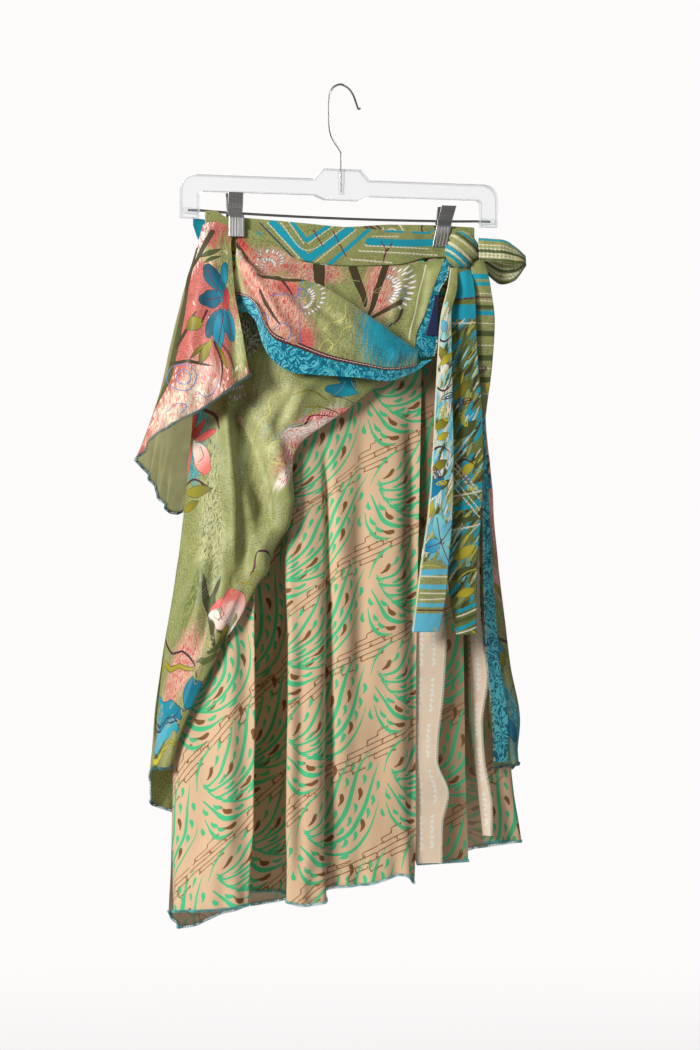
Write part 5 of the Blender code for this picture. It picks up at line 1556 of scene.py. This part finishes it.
TIE1_FIGURES = """
stem SKY BLUE_PALE 5 100,-261 103,-268
leaf LEAF OLIVE_DEEP 5 93,-282 106,-304
leaf YELLOW LEAF 4 96,-305 110,-290
stem MAROON 1.2 91,-275 101,-278 110,-272; 1.2 88,-327 100,-331 111,-324; 1.2 86,-395 96,-391 109,-399
field SKY SKY_PALE 9 98,-347 101,-363
leaf LEAF LEAF_DEEP 5 90,-374 105,-361; 5 87,-417 103,-406
leaf YELLOW LEAF 4 92,-384 105,-376
leaf OLIVE_DEEP 4 87,-440 106,-427
petal SKY_BRIGHT TEAL 6 84,-446 96,-426; 6 84,-440 78,-425
petal SKY SKY_PALE 8 96,-492 93,-468
petal SKY_PALE SKY 8 96,-494 108,-476
petal SKY SKY_BRIGHT 8 94,-495 80,-500
petal SKY_PALE SKY 7 96,-497 104,-516
line MAROON 0.5 104,-516 96,-494 92,-468; 0.5 80,-500 96,-494 108,-476
leaf LEAF YELLOW 4 78,-470 87,-449
stripe SKY 3 75,-526 106,-526
stripe CREAM_INK 0.9 74,-531 105,-531
stripe SKY 2.6 73,-542 104,-542
stripe CREAM_INK 0.8 72,-548 103,-549; 0.8 71,-555 103,-555
stripe SKY 2.2 69,-561 102,-562
stripe MAROON 0.8 68,-567 101,-567
stripe SKY 12 64,-582 97,-582
"""
TIE2_FIGURES = """
stripe TURQUOISE 17 111,-214 140,-213
stripe MAROON 0.9 111,-230 140,-229
stripe TURQUOISE 8 111,-245 140,-244
stripe CREAM_INK 0.8 111,-257 140,-256
leaf LEAF LEAF_DEEP 5 113,-341 133,-319
leaf OLIVE_DEEP 6 115,-384 140,-362
leaf LEAF YELLOW 5 117,-425 138,-407
stem MAROON 1.2 113,-416 126,-405 145,-416
stripe TURQUOISE 2 111,-438 145,-431
stripe CREAM_INK 0.8 111,-445 145,-439
stripe TURQUOISE 2.4 111,-459 145,-453
stripe OLIVE_DEEP 3 111,-472 145,-466
stripe CREAM_INK 0.8 111,-481 145,-475
leaf LEAF YELLOW 6 113,-513 138,-497
leaf OLIVE_DEEP 5 111,-535 133,-520
leaf YELLOW LEAF 5 115,-552 138,-544
stripe TURQUOISE 1.8 117,-569 139,-561
stripe CREAM_INK 0.8 117,-575 139,-566
stripe OLIVE_DEEP 1.8 117,-580 139,-572
stripe TURQUOISE 1.8 117,-588 139,-579
stripe CREAM_INK 0.8 117,-593 139,-585
"""
tie_satin = cloth_finish("striped tie satin", 0.55, 0.3, outline=0.4, mottle=0.2, mottle_scale=90,
                         threads=3000, relief=0.00006, gloss=0.35, pebble=0.3, stipple=0.7)
tie_cloths = {name: Cloth(tie_rows(levels), 1.4, home=0.5) for name, levels in
              (("tie_front", TIE_FRONT), ("tie_back", TIE_BACK), ("tie_fall", TIE_FALL))}
tie_cloths["tie_loop"] = Cloth(np.swapaxes(np.asarray(TIE_LOOP, float), 0, 1), 1.1, home=0.0)
TIE_BANDS = {
    "tie_fall": """
0.06 TURQUOISE 3; 0.085 TURQUOISE 2; 0.116 CREAM 0.7 dashed; 0.13 MAROON 0.6; 0.142 CREAM 0.7 dashed
0.165 OLIVE_DEEP 2.2; 0.185 TURQUOISE 2.4; 0.217 CREAM 0.7 dashed; 0.25 OLIVE_DEEP 3; 0.29 CREAM 0.7 dashed
0.33 OLIVE_DEEP 3; 0.366 CREAM 0.7 dashed; 0.405 OLIVE_DEEP 3; 0.45 CREAM 0.7 dashed; 0.6 TURQUOISE 3
""",
    "tie_loop": """
0.06 TURQUOISE 1; 0.3 CREAM 0.8 dashed; 0.44 CREAM 0.8 dashed; 0.55 OLIVE_DEEP 1.6; 0.68 CREAM 0.8 dashed
0.82 CREAM 0.8 dashed; 0.93 OLIVE_DEEP 1.2
""",
}
# The short brush strokes on the two hanging ends.
TIE_BRUSH = {
    "tie_front": ((71, 190, 85, 1.95, 1.9, ("SKY", "OLIVE_DEEP", "SKY_PALE", "OLIVE_LIGHT", "SKY")),
                  (73, 150, 85, 1.75, 0.9, ("PETAL", "CREAM_INK", "SKY_PALE"))),
    "tie_back": ((72, 190, 30, 2.1, 2.0, ("TURQUOISE", "OLIVE_DEEP", "OLIVE", "BRANCH", "TEAL_LIGHT")),
                 (74, 60, 60, 2.1, 0.8, ("CREAM_INK", "YELLOW", "SKY_PALE"))),
}                                      # seed, how many, plain length at the foot, way, half width, inks
for seed, (name, cloth) in enumerate(tie_cloths.items()):
    cloth.wrinkle(0.35, 16, 70 + seed)
    tie_print = Print(cloth, Ink.OLIVE if name != "tie_back" else Ink.OLIVE_MID)
    top, foot = float(cloth.v.min()), float(cloth.v.max())
    for draw_seed, count, bare, way, half_width, inks in TIE_BRUSH.get(name, ()):
        inks = [getattr(Ink, ink) for ink in inks]
        brushed(tie_print, draw_seed, count, (top + 60, foot - bare), way, inks, half_width)
    if name == "tie_front":
        tie_print.thin(cloth.column(-2), Ink.CREAM, 0.7)
        draw(tie_print, TIE1_FIGURES)
    elif name == "tie_back":
        draw(tie_print, TIE2_FIGURES)
        for drop in (0, 8, 20, 28):
            tie_print.dashes([cloth.place(113, -404 - drop), cloth.place(143, -440 - drop)], Ink.CREAM, 0.7)
    else:
        banded(tie_print, TIE_BANDS[name])
    doodles(tie_print, 61, 6, (Ink.YELLOW, Ink.MAROON, Ink.YELLOW), 0.45, (5, 9))
    cloth_piece(f"{name}_silk", tie_print, tie_satin, name,
                thickness=1.5 if name in ("tie_front", "tie_back") else 1.1)

# The knot: the ties' own silk wrapped round itself, with its stripes running down to the right.
KNOT, KNOT_REACH = (131, -16.1, -176), (18.9, 13.5, 20.4)
knot_rows = [[(KNOT[0] + KNOT_REACH[0] * math.cos(turn) * math.cos(tilt),
               KNOT[1] + KNOT_REACH[1] * math.sin(turn) * math.cos(tilt),
               KNOT[2] - KNOT_REACH[2] * math.sin(tilt))
              for turn in np.linspace(2 * math.pi, 0, 25)] for tilt in np.linspace(-1.5, 1.5, 15)]
knot_cloth = Cloth(knot_rows, 1.0, home=0.75)
across_knot = 0.62 * (knot_cloth.points[:, :, 0] - KNOT[0]) + 0.78 * (knot_cloth.points[:, :, 2] - KNOT[2])
lift = 1.3 * np.tanh((across_knot - 1) / 1.2) - 1.6 * np.exp(-((across_knot - 0.5) / 1.6) ** 2)
lift += 0.9 * np.tanh((-7 - across_knot) / 1.0) - 1.2 * np.exp(-((across_knot + 6.5) / 1.4) ** 2)
lift += 0.35 * np.sin(across_knot * 1.3) - 1.0 * np.exp(-((across_knot - 10) / 1.5) ** 2)
knot_cloth.raise_by(lift[:, :, None])
knot_print = Print(knot_cloth, Ink.OLIVE)
KNOT_BANDS = """
-15 1.6 TURQUOISE; -9.5 2.4 TURQUOISE; -11.7 0.6 CREAM; -5.2 0.6 CREAM; -3.6 0.6 CREAM; 4.5 0.6 CREAM
9.5 1.8 OLIVE_DEEP; 13 1.4 TURQUOISE; 15.5 0.5 YELLOW
"""
for (middle, half, ink), _ in table(KNOT_BANDS):
    knot_print.wash[np.abs(across_knot.ravel() - float(middle)) < float(half)] = getattr(Ink, ink)
cloth_piece("tie_knot_silk", knot_print, tie_satin, "tie_knot", declared=False)
